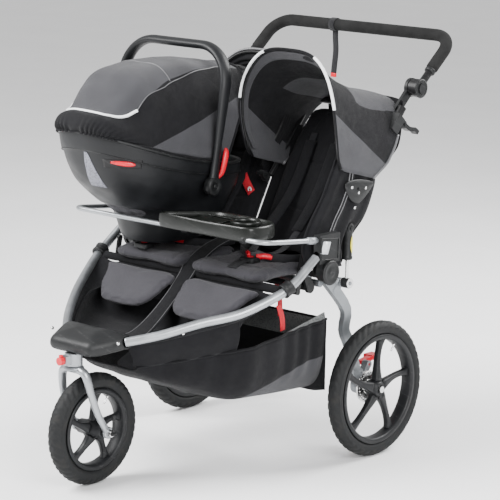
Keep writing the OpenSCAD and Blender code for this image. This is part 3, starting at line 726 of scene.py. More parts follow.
def leant(origin, angle, points):
    """Points of [x, distance, height] on a plane that leans back by angle from the floor."""
    p = np.asarray(points, float)
    up = np.array([0, math.cos(angle), math.sin(angle)])
    front = np.array([0, -math.sin(angle), math.cos(angle)])
    return np.asarray(origin, float) + p[..., :1] * X + p[..., 1:2] * up + p[..., 2:] * front


def arch_path(half, reach, corner, start, count=96):
    """U-shape in a plane: two straight arms, round corners and a bar across."""
    turn = np.linspace(0, math.pi / 2, 14)
    right = [[half, start, 0]]
    right += [[half - corner + corner * math.cos(a), reach - corner + corner * math.sin(a), 0] for a in turn]
    left = [[-x, y, z] for x, y, z in reversed(right)]
    return spaced(right + left, count)


GRIP_PIVOT = pivot("handlebar_tilt")
GRIP_ANGLE = math.radians(40.3)
GRIP_REACH = 208.6
GRIP_HALF = 335
GRIP_R = 17.5


def handlebar():
    path = leant(GRIP_PIVOT * [0, 1, 1], GRIP_ANGLE, arch_path(GRIP_HALF, GRIP_REACH, 62, 74, 200))
    radius = np.full(len(path), GRIP_R)
    radius[:2] = radius[-2:] = [GRIP_R - 3, GRIP_R - 0.5]
    foam = Piece().tube(path, radius, n=36)
    foam.object("handlebar_foam", FOAM, "handlebar", "grip_foam", ["handlebar_grip"])
    collars = Piece()
    for s in (-1, 1):
        ends = leant(GRIP_PIVOT * [0, 1, 1], GRIP_ANGLE, [[s * GRIP_HALF, 62, 0], [s * GRIP_HALF, 75, 0]])
        collars.tube(spaced(ends, 6), [13, 15.5, 16, 16, 16, 14], n=32)
    collars.object("grip_collars", BLACK, "handlebar", "black_plastic")
    caps = Piece().spin(GRIP_PIVOT * [0, 1, 1] + [346, 0, 0], [
        [0.1, -2], [27, -2], [28, 0], [26, 2.5], [20, 3.5], [18.5, 2.5], [8, 2.5], [7, 4], [0.1, 4],
    ], 48).mirror()
    caps.object("handlebar_hinge_caps", BLACK, "handlebar", "black_plastic")


def wrist_strap():
    top = leant(GRIP_PIVOT * [0, 1, 1], GRIP_ANGLE, [[-110, GRIP_REACH, 0]])[0]
    turn = np.linspace(math.radians(-80), math.radians(260), 26)
    wrap = top + (GRIP_R + 1.6) * (np.cos(turn)[:, None] * Y + np.sin(turn)[:, None] * Z)
    hang = spline([
        wrap[0], top + [0, 4, -40], top + [1, 6, -80], top + [0, 2, -125], top + [-1, 0, -152],
    ], 40)
    strap = Piece().strap(wrap, 22, 2.2, X).strap(hang, 22, 2.2, X)
    strap.object("wrist_strap_webbing", STRAP, "handlebar", "black_fabric", ["wrist_strap"])
    end = Piece().strap(spline([hang[-4], hang[-1] + [0, 0, -3], hang[-1] + [0, 0, -6]], 8), 23, 4.5, X)
    end.object("wrist_strap_end", RED, "handlebar", "red_plastic")


BAR_END = np.array([0, -8, 654.6])
BAR_ANGLE = math.radians(174.4)
BAR_HALF = 363
BAR_REACH = 250


def adapter_bar():
    path = leant(BAR_END, BAR_ANGLE, arch_path(BAR_HALF, BAR_REACH, 38, 0, 160))
    Piece().tube(path, 7, n=24).object("adapter_bar_tube", SILVER, "carrier", "silver_tube", ["adapter_bar"])
    sleeves = Piece()
    for s in (-1, 1):
        sleeves.tube(leant(BAR_END, BAR_ANGLE, [[s * BAR_HALF, d, 0] for d in (38, 40, 68, 70)]),
                     [7.2, 10, 10, 7.2], n=28)
    sleeves.object("adapter_bar_sleeves", CAST, "carrier", "silver_tube")


def rounded(outline, count=120):
    """Closed smooth outline through [x, y] corners."""
    loop = spline(outline, 40 * len(outline), closed=True)
    return spaced(np.vstack([loop, loop[:1]]), count + 1)[:-1]


def tray():
    """Snack tray with its rim, one round and one square recess, and the clips on the bar."""
    top = node_box("snack_tray")[1][2]
    outline = rounded([
        [-20, -256], [20, -269], [110, -272], [220, -272], [300, -266], [324, -236], [320, -180], [296, -142],
        [230, -132], [120, -130], [70, -150], [20, -205],
    ])
    middle = outline.mean(0)
    inward = unit(middle - outline)

    def ring(inset, z):
        return np.column_stack([outline + inward * inset, np.full(len(outline), z)])

    rows = [
        ring(5, top - 40), ring(1, top - 38), ring(-1, top - 26), ring(0, top - 8), ring(2.5, top - 2),
        ring(6, top), ring(11, top - 1), ring(14, top - 4), ring(18, top - 9), ring(26, top - 11),
        ring(44, top - 11.5), ring(62, top - 11.8),
    ]
    rows = spline(rows, 60)
    lid = [
        ring(62, top - 11.8) * (1 - k, 1 - k, 1) + [middle[0] * k, middle[1] * k, 0]
        for k in (0.25, 0.5, 0.75, 0.99)
    ]
    body = Piece().grid(np.concatenate([rows, lid]), close_v=True)
    obj = body.object("snack_tray_shell", TRAY, "carrier", "tray_plastic", ["snack_tray"])
    thicken(obj, 2.5)
    cup = np.array([238, -190, 0])
    rings = Piece()
    cup_rim = [[34, -7], [36, 1], [40, 1.8], [42, 0], [41, -11], [36, -12]]
    cup_floor = [[0.1, -17.5], [33, -17], [36, -8], [38, -9], [35, -19.5], [0.1, -20]]
    for section in (cup_rim, cup_floor):
        rings.spin(cup, [[r, top + z] for r, z in section], 64, 0, Z, X)
    square = rounded([[66, -238], [120, -241], [172, -236], [176, -200], [170, -166], [120, -162], [70, -166],
                      [62, -200]], 80)
    rings.sweep(np.column_stack([square, np.full(len(square), top - 9)]),
                [[-2, -1], [-2, 3], [2, 3], [2, -1]], Z, closed=True)
    rings.object("snack_tray_rings", TRAY, "carrier", "tray_plastic")
    clips = Piece()
    for x in (78, 293):
        ring_section = [[8, -8], [11.5, -8], [12, -6], [12, 6], [11.5, 8], [8, 8]]
        clips.spin(np.array([x, BAR_END[1] - 249.5, 680]), ring_section, 32)
    clips.object("snack_tray_clips", BLACK, "carrier", "black_plastic")


handlebar()
wrist_strap()
adapter_bar()
tray()


# ---- Padded pieces, filled by cloth simulation ----


def slab(outline, thick, origin, u, v):
    """Flat block of an outline given along u and v, as a mesh for the filling to start from."""
    u, v = unit(u), unit(v)
    n = np.cross(u, v)
    loop = spaced(np.vstack([outline, outline[:1]]), 121)[:-1]
    base = np.asarray(origin, float) + loop[:, :1] * u + loop[:, 1:] * v
    k = len(base)
    faces = [(i, (i + 1) % k, k + (i + 1) % k, k + i) for i in range(k)]
    faces += [tuple(reversed(range(k))), tuple(range(k, 2 * k))]
    return np.vstack([base - n * thick / 2, base + n * thick / 2]), faces


FILL_STEPS = 20
FILL_PRESSURE = 4


def inflated(verts, faces, voxel_mm, cap_mm):
    """Remeshes a block and fills it like a cushion, moving no point further than the cap."""
    obj = Piece().add(verts, faces).object("cushion_form", CLOTH)
    modifier(obj, "REMESH", mode="VOXEL", voxel_size=voxel_mm / 1000)
    modifier(obj, "SMOOTH", factor=0.6, iterations=4)
    mesh = evaluated(obj)
    bpy.data.objects.remove(obj)
    start = np.array([v.co for v in mesh.vertices])
    pad = bpy.data.objects.new("cushion_sim", mesh)
    bpy.context.scene.collection.objects.link(pad)
    cloth = pad.modifiers.new("Cloth", "CLOTH")
    cloth.settings.use_pressure = True
    cloth.settings.uniform_pressure_force = FILL_PRESSURE
    cloth.settings.effector_weights.gravity = 0
    cloth.point_cache.frame_start = 1
    cloth.point_cache.frame_end = FILL_STEPS
    for step in range(1, FILL_STEPS + 1):
        bpy.context.scene.frame_set(step)
    filled = evaluated(pad)
    end = np.array([v.co for v in filled.vertices])
    bpy.data.objects.remove(pad)
    bpy.context.scene.frame_set(1)
    move = end - start
    length = np.linalg.norm(move, axis=1, keepdims=True)
    end = start + move * np.minimum(1, cap_mm / 1000 / np.maximum(length, 1e-9))
    filled.vertices.foreach_set("co", end.astype(np.float32).ravel())
    return filled


def near_lines(points, lines):
    """Distance in mm from each point to the nearest of some lines."""
    best = np.full(len(points), 1e9)
    for line in lines:
        dense = spaced(np.asarray(line, float), 80)
        gap = np.linalg.norm(points[:, None] - dense[None], axis=2).min(axis=1)
        best = np.minimum(best, gap)
    return best


def cushion(
    name, outline, thick, origin, u, v, channels, look, bodies, cap=9, depth=5.0, fold=1.2, replaces=(),
):
    """A crowned pad with sewn channels. channels are lines along u and v; bodies are right and left."""
    verts, faces = slab(outline, thick, origin, u, v)
    mesh = inflated(verts, faces, 6, cap)
    u, v = unit(u), unit(v)
    n = np.cross(u, v)
    p = np.array([w.co for w in mesh.vertices]) * 1000 - [0, HUB_Y, 0]
    local = np.column_stack([(p - origin) @ u, (p - origin) @ v])
    front = np.clip((p - origin) @ n / (thick / 2), 0, 1)
    if channels:
        gap = near_lines(local, channels)
        p -= n * (depth * front * np.exp(-((gap / 4.5) ** 2)))[:, None]
    p += n * (fold * front * wobble(p, 55, len(name)))[:, None]
    for side, body in zip(("right", "left"), bodies):
        copy = mesh.copy()
        placed = metres(p if side == "right" else mirrored(p))
        copy.vertices.foreach_set("co", placed.astype(np.float32).ravel())
        if side == "left":
            copy.flip_normals()
        copy.materials.clear()
        copy.materials.append(look)
        copy.polygons.foreach_set("use_smooth", [True] * len(copy.polygons))
        obj = bpy.data.objects.new(f"{name}_{side}", copy)
        bpy.context.scene.collection.objects.link(obj)
        modifier(obj, "SUBSURF", levels=1, render_levels=1)
        settle(obj, body,
               [r for r in replaces if side in r or side == "right"])
    bpy.data.meshes.remove(mesh)


def arc_line(points):
    return spline(points, 60)


SEAT_TOP = node_box("seat_pads")[1][2]
BACK_HINGE = pivot("seat_back_right_recline")
BACK_ANGLE = math.radians(62)
BACK_UP = np.array([0, math.cos(BACK_ANGLE), math.sin(BACK_ANGLE)])
BACK_OUT = np.cross(X, BACK_UP)
SEAT_IN, SEAT_OUT = 17, 276
CALF_TOP = np.array([0, -178, 525])
CALF_DOWN = np.array([0, -math.cos(math.radians(35.5)), -math.sin(math.radians(35.5))])


def seats():
    """Seat pads, seat backs and calf pads, filled like cushions and seamed."""
    wide, deep = SEAT_OUT - SEAT_IN, 258
    pad_outline = [
        [4, 6], [wide / 2, 2], [wide - 4, 6], [wide - 1, deep / 2], [wide - 4, deep - 4], [wide / 2, deep],
        [4, deep - 4], [1, deep / 2],
    ]
    channels = [
        arc_line([[24, 12], [38, 70], [40, 150], [60, 225], [wide / 2, 240], [wide - 60, 225],
                  [wide - 40, 150], [wide - 38, 70], [wide - 24, 12]]),
        arc_line([[40, 60], [wide / 2, 44], [wide - 40, 60]]),
    ]
    cushion("seat_pad", rounded(pad_outline), 21, np.array([SEAT_IN, -188, SEAT_TOP - 17]), X, Y, channels,
            SEAT_GREY, ["front_frame", "front_frame"], replaces=["seat_pads"])

    long = 452
    back_outline = [
        [6, 4], [140, 0], [274, 4], [281, 120], [279, 300], [262, 400], [230, long - 6], [140, long],
        [50, long - 6], [18, 400], [1, 300], [-1, 120],
    ]
    back_channels = [
        arc_line([[58, 10], [66, 150], [64, 300], [84, 400], [140, 428], [196, 400], [216, 300], [214, 150],
                  [222, 10]]),
        arc_line([[66, 285], [140, 272], [214, 285]]), arc_line([[66, 140], [140, 130], [214, 140]]),
    ]
    corner = BACK_HINGE * [0, 1, 1] + [SEAT_IN, 0, 0] + 14 * BACK_UP
    backs = ["seat_back_right", "seat_back_left"]
    cushion("back_cushion", rounded(back_outline), 22, corner, X, BACK_UP, back_channels, CLOTH, backs,
            cap=10, replaces=backs)

    calf_outline = [[26, 4], [155, 0], [284, 4], [276, 40], [256, 92], [214, 140], [150, 148], [88, 146],
                    [48, 124], [27, 70]]
    calf_channels = [
        arc_line([[66, 40], [80, 22], [150, 16], [222, 22], [236, 40], [214, 76], [172, 96], [120, 96],
                  [82, 78], [66, 40]]),
        arc_line([[92, 44], [150, 34], [208, 44], [190, 66], [150, 76], [108, 66], [92, 44]]),
    ]
    cushion("calf_pad", rounded(calf_outline), 14, CALF_TOP, X, CALF_DOWN, calf_channels, SEAT_GREY,
            ["front_frame", "front_frame"], cap=6, depth=4.0, fold=0.8, replaces=["calf_pads"])


def back_panels():
    """Grey cloth panel up the outer side of each seat back."""
    for side in ("right", "left"):
        back = bpy.data.objects["back_cushion_" + side]
        back.data.materials.append(SEAT_GREY)
        edge = 232 if side == "right" else -232
        recolour(back, [([edge, 0, 0], X * edge), ([0, 160, 770], [0, 0.4, 1])], 1)


seats()
back_panels()


# ---- Canopies ----

CANOPY_PIVOT = pivot("canopy_right_fold") * [0, 1, 1]
CANOPY_X = 182
CANOPY_HALF = 167


def polar(centre, angle, reach):
    """Side-view points around a centre, as [y, z]; angles in degrees from the floor behind it."""
    a = np.radians(angle)
    return np.stack([centre[1] + reach * np.cos(a), centre[2] + reach * np.sin(a)], axis=-1)


def canopy_arch(foot, crest, half=CANOPY_HALF, ease=1.0, square=3.2, count=61):
    """Arch over a canopy from its foot up over its crest, both [y, z]; ease bows the sides forwards."""
    t = np.linspace(0, math.pi, count)
    rise = np.sin(t).clip(0) ** (2 / square)
    across = np.sign(np.cos(t)) * np.abs(np.cos(t)) ** (2 / square)
    y = foot[0] + (crest[0] - foot[0]) * rise**ease
    belly = np.sin(math.pi * rise)
    x = CANOPY_X + half * across * (1 + 0.07 * belly) - 13 * belly
    return np.column_stack([x, y, foot[1] + (crest[1] - foot[1]) * rise])


def canopy_hem(half=CANOPY_HALF, count=61):
    return canopy_arch((73, 841), (37, 1156), half, ease=0.45, count=count)


def on_side(p, left):
    return mirrored(p) if left else np.asarray(p)


def canopy_right():
    """Open canopy: sheet with grey panels, piping round the front, bow and rear edging."""
    rows = [canopy_hem()] + [canopy_arch(*a) for a in (
        ((80, 836), (62, 1131)), ((96, 829), (105, 1099)), ((130, 820), (165, 1067)),
        ((172, 809), (240, 1040)), ((202, 801), (310, 1026), CANOPY_HALF, 0.8),
        ((215, 798), (385, 1008), CANOPY_HALF, 0.6),
    )]
    sheet = rumpled(net(rows, 96, 150), 2.6, 70, 3)
    obj = Piece().grid(sheet).object("canopy_right_sheet", [CLOTH, GREY])
    recolour(obj, [([0, 43, 999], [0, -148, -200])], 1, lambda c: abs(c[0] - CANOPY_X) > 118)
    recolour(obj, [([0, 170, 0], Y)], 1, lambda c: abs(c[0] - CANOPY_X) < 135)
    thicken(obj, 2.4)
    piping, binding, band, rear = Piece(), Piece(), Piece(), Piece()
    edge = canopy_hem(CANOPY_HALF + 1.5, 241)
    for half in (edge[:121], edge[120:][::-1]):
        white = (half[:, 2] > 1003) & (np.abs(half[:, 0] - CANOPY_X) > 90)
        piping.tube(half[white], 4.2, n=14)
        binding.tube(half[half[:, 2] <= 1008], 2.6, n=12)
    binding.tube(edge[np.abs(edge[:, 0] - CANOPY_X) <= 92], 3.2, n=12)
    inner = [canopy_arch(foot, crest, CANOPY_HALF - 5, ease=0.5) for foot, crest in (
        ((77, 860), (42, 1148)), ((84, 858), (54, 1136)), ((92, 856), (66, 1124)),
    )]
    band.grid(rumpled(net(inner, 8, 110), 0.8, 40, 5))
    low = sheet[-1][:, 2] < 910
    for side in (-1, 1):
        rear.tube(sheet[-1][low & ((sheet[-1][:, 0] - CANOPY_X) * side > 0)], 4, n=12)
    pieces = [
        obj, piping.object("canopy_right_piping", PIPING), binding.object("canopy_right_binding", CLOTH),
        thicken(band.object("canopy_right_band", GREY), 1.6), rear.object("canopy_right_edging", EDGING),
    ]
    rod = Piece().tube(canopy_hem(CANOPY_HALF - 5, 121) + [0, 5, -5], 3.6, n=14)
    rod.object("canopy_bow_right_rod", BLACK_TUBE, "canopy_bow_right", "black_plastic", ["canopy_bow_right"])
    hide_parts("canopy_right")
    finishes = ("black_fabric", "grey_fabric", "black_fabric", "grey_fabric", "grey_fabric")
    for piece, finish in zip(pieces, finishes):
        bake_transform(piece)


def folded_arch(foot_angle, crest_angle, reach, half=CANOPY_HALF, count=61):
    foot = polar(CANOPY_PIVOT, foot_angle, 22)
    return canopy_arch(foot, polar(CANOPY_PIVOT, crest_angle, reach), half, count=count)


def canopy_left():
    """Folded back: the sheet gathers in pleats between its bow and the rear hem."""
    rows = [folded_arch(*a) for a in (
        (66, 59.5, 374), (62, 58, 380), (58, 57.2, 352), (52, 56, 371), (46, 55, 345), (38, 54, 360),
        (24, 52.5, 330),
    )]
    sheet = mirrored(rumpled(net(rows, 60, 130), 3, 55, 8))
    obj = thicken(Piece().grid(sheet).object("canopy_left_sheet", [CLOTH]), 2.4)
    edge = mirrored(folded_arch(66, 59.5, 377, CANOPY_HALF + 1, count=200))
    piping = Piece().tube(edge[30:170], 3.6, n=12).object("canopy_left_piping", EDGING)
    rod = Piece().tube(mirrored(folded_arch(66, 59.5, 368, CANOPY_HALF - 5, count=121)), 3.6, n=14)
    rod.object("canopy_bow_left_rod", BLACK_TUBE, "canopy_bow_left", "black_plastic", ["canopy_bow_left"])
    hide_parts("canopy_left")
    for piece, finish in ((obj, "black_fabric"), (piping, "grey_fabric")):
        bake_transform(piece)


def rear_flap(left):
    """Cloth that hangs from a canopy's rear hem, with rounded lower corners."""
    rows = []
    for k in np.linspace(0, 1, 9):
        s = np.linspace(-1, 1, 25)
        half = 140 - 17 * k - 26 * k**6
        drop = 200 * k - 34 * np.abs(s) ** 5 * k**2
        y = 385 + 10 * k - 12 * np.abs(s) ** 3 + 3.5 * np.sin(7 * s + 2 * k) * k
        rows.append(np.column_stack([CANOPY_X + half * s, y, 1006 - 8 * s**4 * (1 - k) - drop]))
    name = "rear_flap_" + ("left" if left else "right")
    sheet = on_side(rumpled(net(rows, 50, 80), 2.2, 60, 11), left)
    thicken(Piece().grid(sheet).object(name, CLOTH, "upper_frame", "black_fabric"), 2.2)


def divider():
    """Black cloth between and behind the two seat backs, and the one that closes the cabin below them."""
    between, below, partition = Piece(), Piece(), Piece()
    rows = []
    for along in np.linspace(-8, 400, 12):
        at = BACK_HINGE * [0, 1, 1] + along * BACK_UP - 8 * BACK_OUT
        rows.append(at + np.array([[x, 0, 0] for x in np.linspace(-24, 24, 7)]))
    between.grid(rumpled(net(rows, 60, 10), 1, 40, 12))
    rows = []
    for along, depth in ((40, 12), (140, 44), (260, 82), (380, 120)):
        at = BACK_HINGE * [0, 1, 1] + along * BACK_UP
        rows.append([at - d * BACK_OUT for d in np.linspace(8, depth, 5)])
    partition.grid(rumpled(net(rows, 40, 20), 0.8, 40, 15))
    thicken(partition.object("seat_partition", CLOTH, "upper_frame", "black_fabric"), 2, 0)
    rows = []
    for y, z in ((40, 568), (70, 553), (108, 546), (138, 560), (148, 594)):
        rows.append([[x, y, z - 6 * (1 - (x / 280) ** 2)] for x in np.linspace(-280, 280, 21)])
    below.grid(rumpled(net(rows, 24, 120), 1.6, 50, 13))
    thicken(between.object("seat_divider", CLOTH, "upper_frame", "black_fabric"), 2)
    thicken(below.object("cabin_rear_sheet", CLOTH, "front_frame", "black_fabric"), 2)


canopy_right()
canopy_left()
rear_flap(False)
rear_flap(True)
divider()


# ---- Side cloth, footwell and basket ----


def side_cloth():
    """Pleated cloth over each upper frame tube, from the canopy mount down to the hub bracket."""
    outline = [  # height, front y, rear y
        [872, 92, 150], [835, 72, 222], [800, 52, 240], [761, 30, 233], [694, -20, 201], [640, -46, 170],
        [600, -40, 146], [566, -20, 126],
    ]
    rows = []
    for z, front, rear in outline:
        y = np.linspace(front, rear, 15)
        low = np.clip((690 - z) / 40, 0, 1)
        behind_shock = low * np.clip((y - 96) / 14, 0, 1)
        depth = 343.5 - 31 * behind_shock
        k = np.linspace(0, 1, 15)
        depth = depth - 26 * np.exp(-k / 0.06) - 12 * np.exp(-(1 - k) / 0.06) * (1 - behind_shock)
        rows.append(np.column_stack([depth, y, np.full(15, z)]))
    sheet = net(rows, 90, 70)
    k = np.linspace(0, 1, 70)[None]
    down = np.linspace(0, 1, 90)[:, None]
    pleats = 3.2 * np.sin(21 * k + 2.2 * down) * np.sin(math.pi * np.clip(down * 1.1, 0, 1)) * (k > 0.02)
    sheet[..., 0] += pleats * np.where(sheet[..., 0] > 330, 1, 0.3)
    sheet = rumpled(sheet, 1.6, 45, 4)
    seam_rows = []
    for share in (0.30, 0.38):
        seam = sheet[8:84, int(70 * share)] + [1.5, 0, 0]
        seam_rows.append(seam)
    for left in (False, True):
        name = "left" if left else "right"
        cloth = thicken(Piece().grid(on_side(sheet, left)).object("side_cloth_" + name, CLOTH), 2)
        lines = Piece()
        for seam in seam_rows:
            lines.tube(on_side(seam, left), 1.5, n=8)
        edging = Piece().tube(on_side(sheet[:, 0] + [2, -1, 0], left), 3, n=10)
        edging.tube(on_side(sheet[:, -1], left), 2.6, n=10)
        pieces = [cloth, lines.object("side_seams_" + name, EDGING), edging.object("side_hem_" + name, CLOTH)]
        for piece, finish in zip(pieces, ("black_fabric", "grey_fabric", "black_fabric")):
            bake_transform(piece)


def side_lining():
    """Cloth wing inside each seat, from the side's front edge to the seat back."""
    rows = []
    for z, front in ((880, 100), (835, 76), (780, 42), (720, 4), (660, -38), (610, -50), (578, -60)):
        back = BACK_HINGE[1] + (z - BACK_HINGE[2]) / math.tan(BACK_ANGLE) - 6
        k = np.linspace(0, 1, 7)
        rows.append(np.column_stack([316 - 16 * k**2, front + (back - front) * k, np.full(7, z)]))
    sheet = rumpled(net(rows, 50, 30), 2.5, 60, 6)
    for left in (False, True):
        name = "side_lining_" + ("left" if left else "right")
        obj = Piece().grid(on_side(sheet, left)).object(name, [LINING, GREY])
        recolour(obj, [([0, 60, 770], [0, 0.25, 1])], 1)
        thicken(obj, 2)
        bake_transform(obj)


def trough(stations, bow, samples):
    """Rows of a sling: each station is [y, half width, rim z, floor z]."""
    s = np.linspace(-1, 1, samples)
    rows = []
    for y, half, rim_z, floor_z in stations:
        across = half * np.sign(s) * (1 - (1 - np.abs(s)) ** 1.7)
        height = floor_z + (rim_z - floor_z) * np.abs(s) ** bow
        rows.append(np.column_stack([across, np.full(samples, y), height]))
    return np.array(rows)


def footwell():
    rows = trough([
        [-506, 96, 398, 388], [-490, 112, 402, 380], [-440, 162, 411, 378], [-362, 222, 431, 376],
        [-290, 264, 449, 377], [-250, 272, 454, 382], [-232, 274, 456, 410], [-222, 274, 457, 452],
    ], 4.5, 31)
    sheet = rumpled(net(rows, 70, 90), 2.2, 75, 9)
    sling = Piece().grid(sheet).object("footwell_sling", CLOTH, "front_frame", "black_fabric", ["footwell"])
    thicken(sling, 2.6)
    hems = Piece()
    for column in (0, -1):
        hems.tube(sheet[:, column], 4, n=12)
    hems.tube(sheet[-1], 4, n=12)
    hems.object("footwell_hem", CLOTH, "front_frame", "black_fabric")


def leg_sheets():
    """Cloth behind the calf pads, and a web from each silver tube down to the footwell's edge."""
    rows = [[[x, y, z] for x in np.linspace(-276, 276, 23)] for y, z in (
        (-152, 528), (-168, 510), (-186, 492), (-206, 474), (-229, 456),
    )]
    sheet = Piece().grid(rumpled(net(rows, 30, 120), 1.5, 60, 31))
    thicken(sheet.object("calf_sheet", CLOTH, "front_frame", "black_fabric"), 2)
    inner = spline([
        [112, -492, 401], [162, -440, 411], [222, -362, 431], [264, -290, 449], [274, -232, 457],
        [275, -192, 492], [276, -160, 520],
    ], 60)
    outer = spline([
        [128, -494, 416], [170, -452, 426], [235, -367, 455], [296, -278, 477], [332, -206, 508],
        [338, -184, 519], [341, -160, 532],
    ], 60)
    share = np.linspace(0, 1, 9)[None, :, None]
    web = inner[:, None] * (1 - share) + outer[:, None] * share
    web[..., 2] -= 7 * np.sin(math.pi * share[..., 0])
    webs = Piece().grid(rumpled(net(web, 90, 24), 1.6, 45, 32)).mirror()
    thicken(webs.object("leg_webs", CLOTH, "front_frame", "black_fabric"), 2)


def centre_strap():
    """Wide cloth strap between the seats, over the crossbar and down to the footwell."""
    path = spline([
        [0, 66, 640], [0, 10, 612], [0, -70, 592], [0, -140, 556], [0, -176, 520], [0, -232, 470],
        [0, -300, 418], [0, -356, 388], [0, -410, 381],
    ], 90)
    wide = spline([[24], [28], [30], [33], [29], [26], [29], [34], [40]], 90)[:, 0]
    loop = np.linspace(0, 2 * math.pi, 24, endpoint=False)
    section = np.stack([np.cos(loop), 0.13 * np.sin(loop)], axis=1)
    body = Piece().sweep(path, wide[:, None, None] * section, X)
    body.object("centre_strap", CLOTH, "front_frame", "black_fabric")
    stitches = Piece()
    for s in (-0.8, 0.8):
        up = unit(np.cross(X, np.gradient(path, axis=0)))
        rise = 0.13 * wide * 0.62
        side = path + X * (s * wide)[:, None]
        stitches.tube(side - up * rise[:, None] * np.sign(up[:, 2:]) * -1, 0.9, n=6)
    stitches.object("centre_strap_stitches", EDGING, "front_frame", "grey_fabric")


def crossbar():
    """Cloth sleeve on the front seat bar, and a ribbed collar on each silver tube."""
    x = np.linspace(-335, 335, 140)
    path = np.column_stack([x, np.full(140, -152.0), np.full(140, 531.0)])
    radius = 11.5 + 0.7 * wobble(path, 26, 2)
    Piece().tube(path, radius, n=22).object("crossbar_sleeve", CLOTH, "front_frame", "black_fabric")
    along = unit([12, 51, 27])
    profile = [
        [13, -14], [19, -15], [21, -13], [21, -9], [20, -8], [20, 8], [21, 9], [21, 13], [19, 15], [13, 14],
    ]
    collar = Piece().spin(np.array([357, -152, 539]), profile, 48, 0, along, unit(np.cross(along, X)))
    collar.mirror().object("seat_bar_collars", BLACK, "front_frame", "black_plastic")


BASKET_STATIONS = [
    [-470, 106, 331, 322], [-452, 122, 334, 309], [-400, 164, 343, 282], [-300, 234, 360, 243],
    [-216, 284, 372, 212], [-100, 289, 386, 203], [0, 289, 395, 196], [70, 288, 400, 190],
    [100, 287, 402, 188],
]


def basket():
    """Sling between the frame tubes, with its hem, mesh rear edge and straps."""
    rows = trough(BASKET_STATIONS, 5.5, 41)
    sheet = net(rows, 120, 120)
    y = sheet[..., 1]
    depth = np.clip(np.abs(sheet[..., 0]) / np.interp(y[:, :1], [-470, -216, 100], [106, 284, 287]), 0, 1)
    gathers = 2.6 * np.sin(y / 11 + 1.5 * np.sin(y / 47)) * np.clip((depth - 0.9) * 10, 0, 1)
    sheet[..., 0] += gathers * np.sign(sheet[..., 0])
    sheet[..., 2] -= 7 * np.clip(1 - depth, 0, 1) * np.clip((y + 300) / 200, 0, 1)
    sheet = rumpled(sheet, 2.4, 85, 13)
    shell = Piece().grid(sheet).object("basket_sling", [CLOTH, GREY])

    def lower_side(c):
        return abs(c[0]) > 150 and c[2] < 330

    recolour(shell, [([0, -205, 211], [0, 72, -60])], 1, lower_side)
    recolour(shell, [([0, -118, 286], [0, -8, 143])], 0, lambda c: abs(c[0]) > 150 and c[1] > -150)
    recolour(shell, [([0, 30, 296], [0, -24, 82])], 0, lambda c: abs(c[0]) > 150)
    thicken(shell, 2.4)
    s = np.linspace(-1, 1, 31)
    wall = []
    for k in np.linspace(0, 1, 8):
        half = 287
        low = np.interp(np.abs(s), [0, 0.85, 1], [187, 190, 200])
        z = low + (403 - low) * k
        bulge = 9 * np.sin(math.pi * k) * (1 - s**2)
        wall.append(np.column_stack([half * s, 101 + bulge, z]))
    back = Piece().grid(rumpled(net(wall, 40, 70), 2, 60, 14)).object("basket_back", [CLOTH, NET])
    recolour(back, [([0, 100, 335], [0, 0, 1])], 1, lambda c: abs(c[0]) < 235)
    thicken(back, 2.2)
    hems = Piece()
    for column in (0, -1):
        hems.tube(sheet[:, column] + [0, 0, 1], 3.6, n=12)
    hems.tube(np.array(wall[-1]) + [0, 0, 1], 3.6, n=12)
    hems.tube(sheet[0], 3, n=10)
    hem = hems.object("basket_hem", CLOTH)
    net_side = []
    for k in np.linspace(0, 1, 5):
        y = np.linspace(-60, 98, 15)
        top = np.interp(y, [-60, 98], [392, 424])
        rim = np.interp(y, [-60, 98], [391, 402])
        net_side.append(np.column_stack([np.full(15, 286 - 5 * k), y, rim + (top - rim) * k]))
    nets = Piece().grid(net(net_side, 10, 40)).mirror().object("basket_net_edge", [NET])
    thicken(nets, 1.4)
    straps = Piece()
    for at, top in (([150, 60, 398], 505), ([265, -60, 394], 470)):
        halfway = [at[0] + 2, at[1] - 6, (at[2] + top) / 2]
        straps.strap(spline([at, halfway, [at[0], at[1] - 20, top]], 16), 20, 1.8, Y)
    straps = straps.mirror().object("basket_straps", RED_STRAP)
    top = spline([[97, -500, 398], [112, -488, 402], [162, -440, 411], [222, -362, 431], [258, -300, 447],
                  [272, -246, 455]], 60)
    low = spline([[98, -474, 331], [122, -452, 334], [164, -400, 343], [203, -350, 351], [234, -300, 360],
                  [266, -250, 367]], 60)
    share = np.linspace(0, 1, 15)[None, :, None]
    apron = top[:, None] * (1 - share) + low[:, None] * share
    apron[..., 0] += 7 * np.sin(math.pi * share[..., 0])
    aprons = Piece().grid(rumpled(apron, 1.8, 50, 33)).mirror().object("basket_aprons", CLOTH)
    thicken(aprons, 2)
    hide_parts("basket")
    for piece, finish in ((shell, "black_fabric"), (back, "black_fabric"), (hem, "black_fabric"),
                          (nets, "grey_fabric"), (aprons, "black_fabric")):
        settle(piece, "front_frame")
        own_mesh(piece)
    settle(straps, "front_frame")


side_cloth()
side_lining()
footwell()
leg_sheets()
centre_strap()
crossbar()
basket()


# ---- Infant carrier ----

CARRIER_X = -172
CARRIER_PIVOT = pivot("carrier_handle_turn") * [0, 1, 1] + [CARRIER_X, 0, 0]
# Rings of the shell from the bottom up: front y, front z, back y, back z, half width, sag of the middle
SHELL_RINGS = [
    [-203, 603, 4, 603, 92, 0], [-212, 622, 22, 618, 102, 0], [-240, 690, 84, 664, 124, 2],
    [-292, 720, 104, 704, 141, 6], [-362, 780, 120, 745, 163, 12], [-394, 832, 122, 768, 174, 18],
    [-412, 880, 123, 785, 179, 24], [-417, 886, 124, 789, 182.5, 25], [-424, 918, 124, 806, 184.5, 27],
    [-426, 932, 123, 815, 183.5, 28],
]


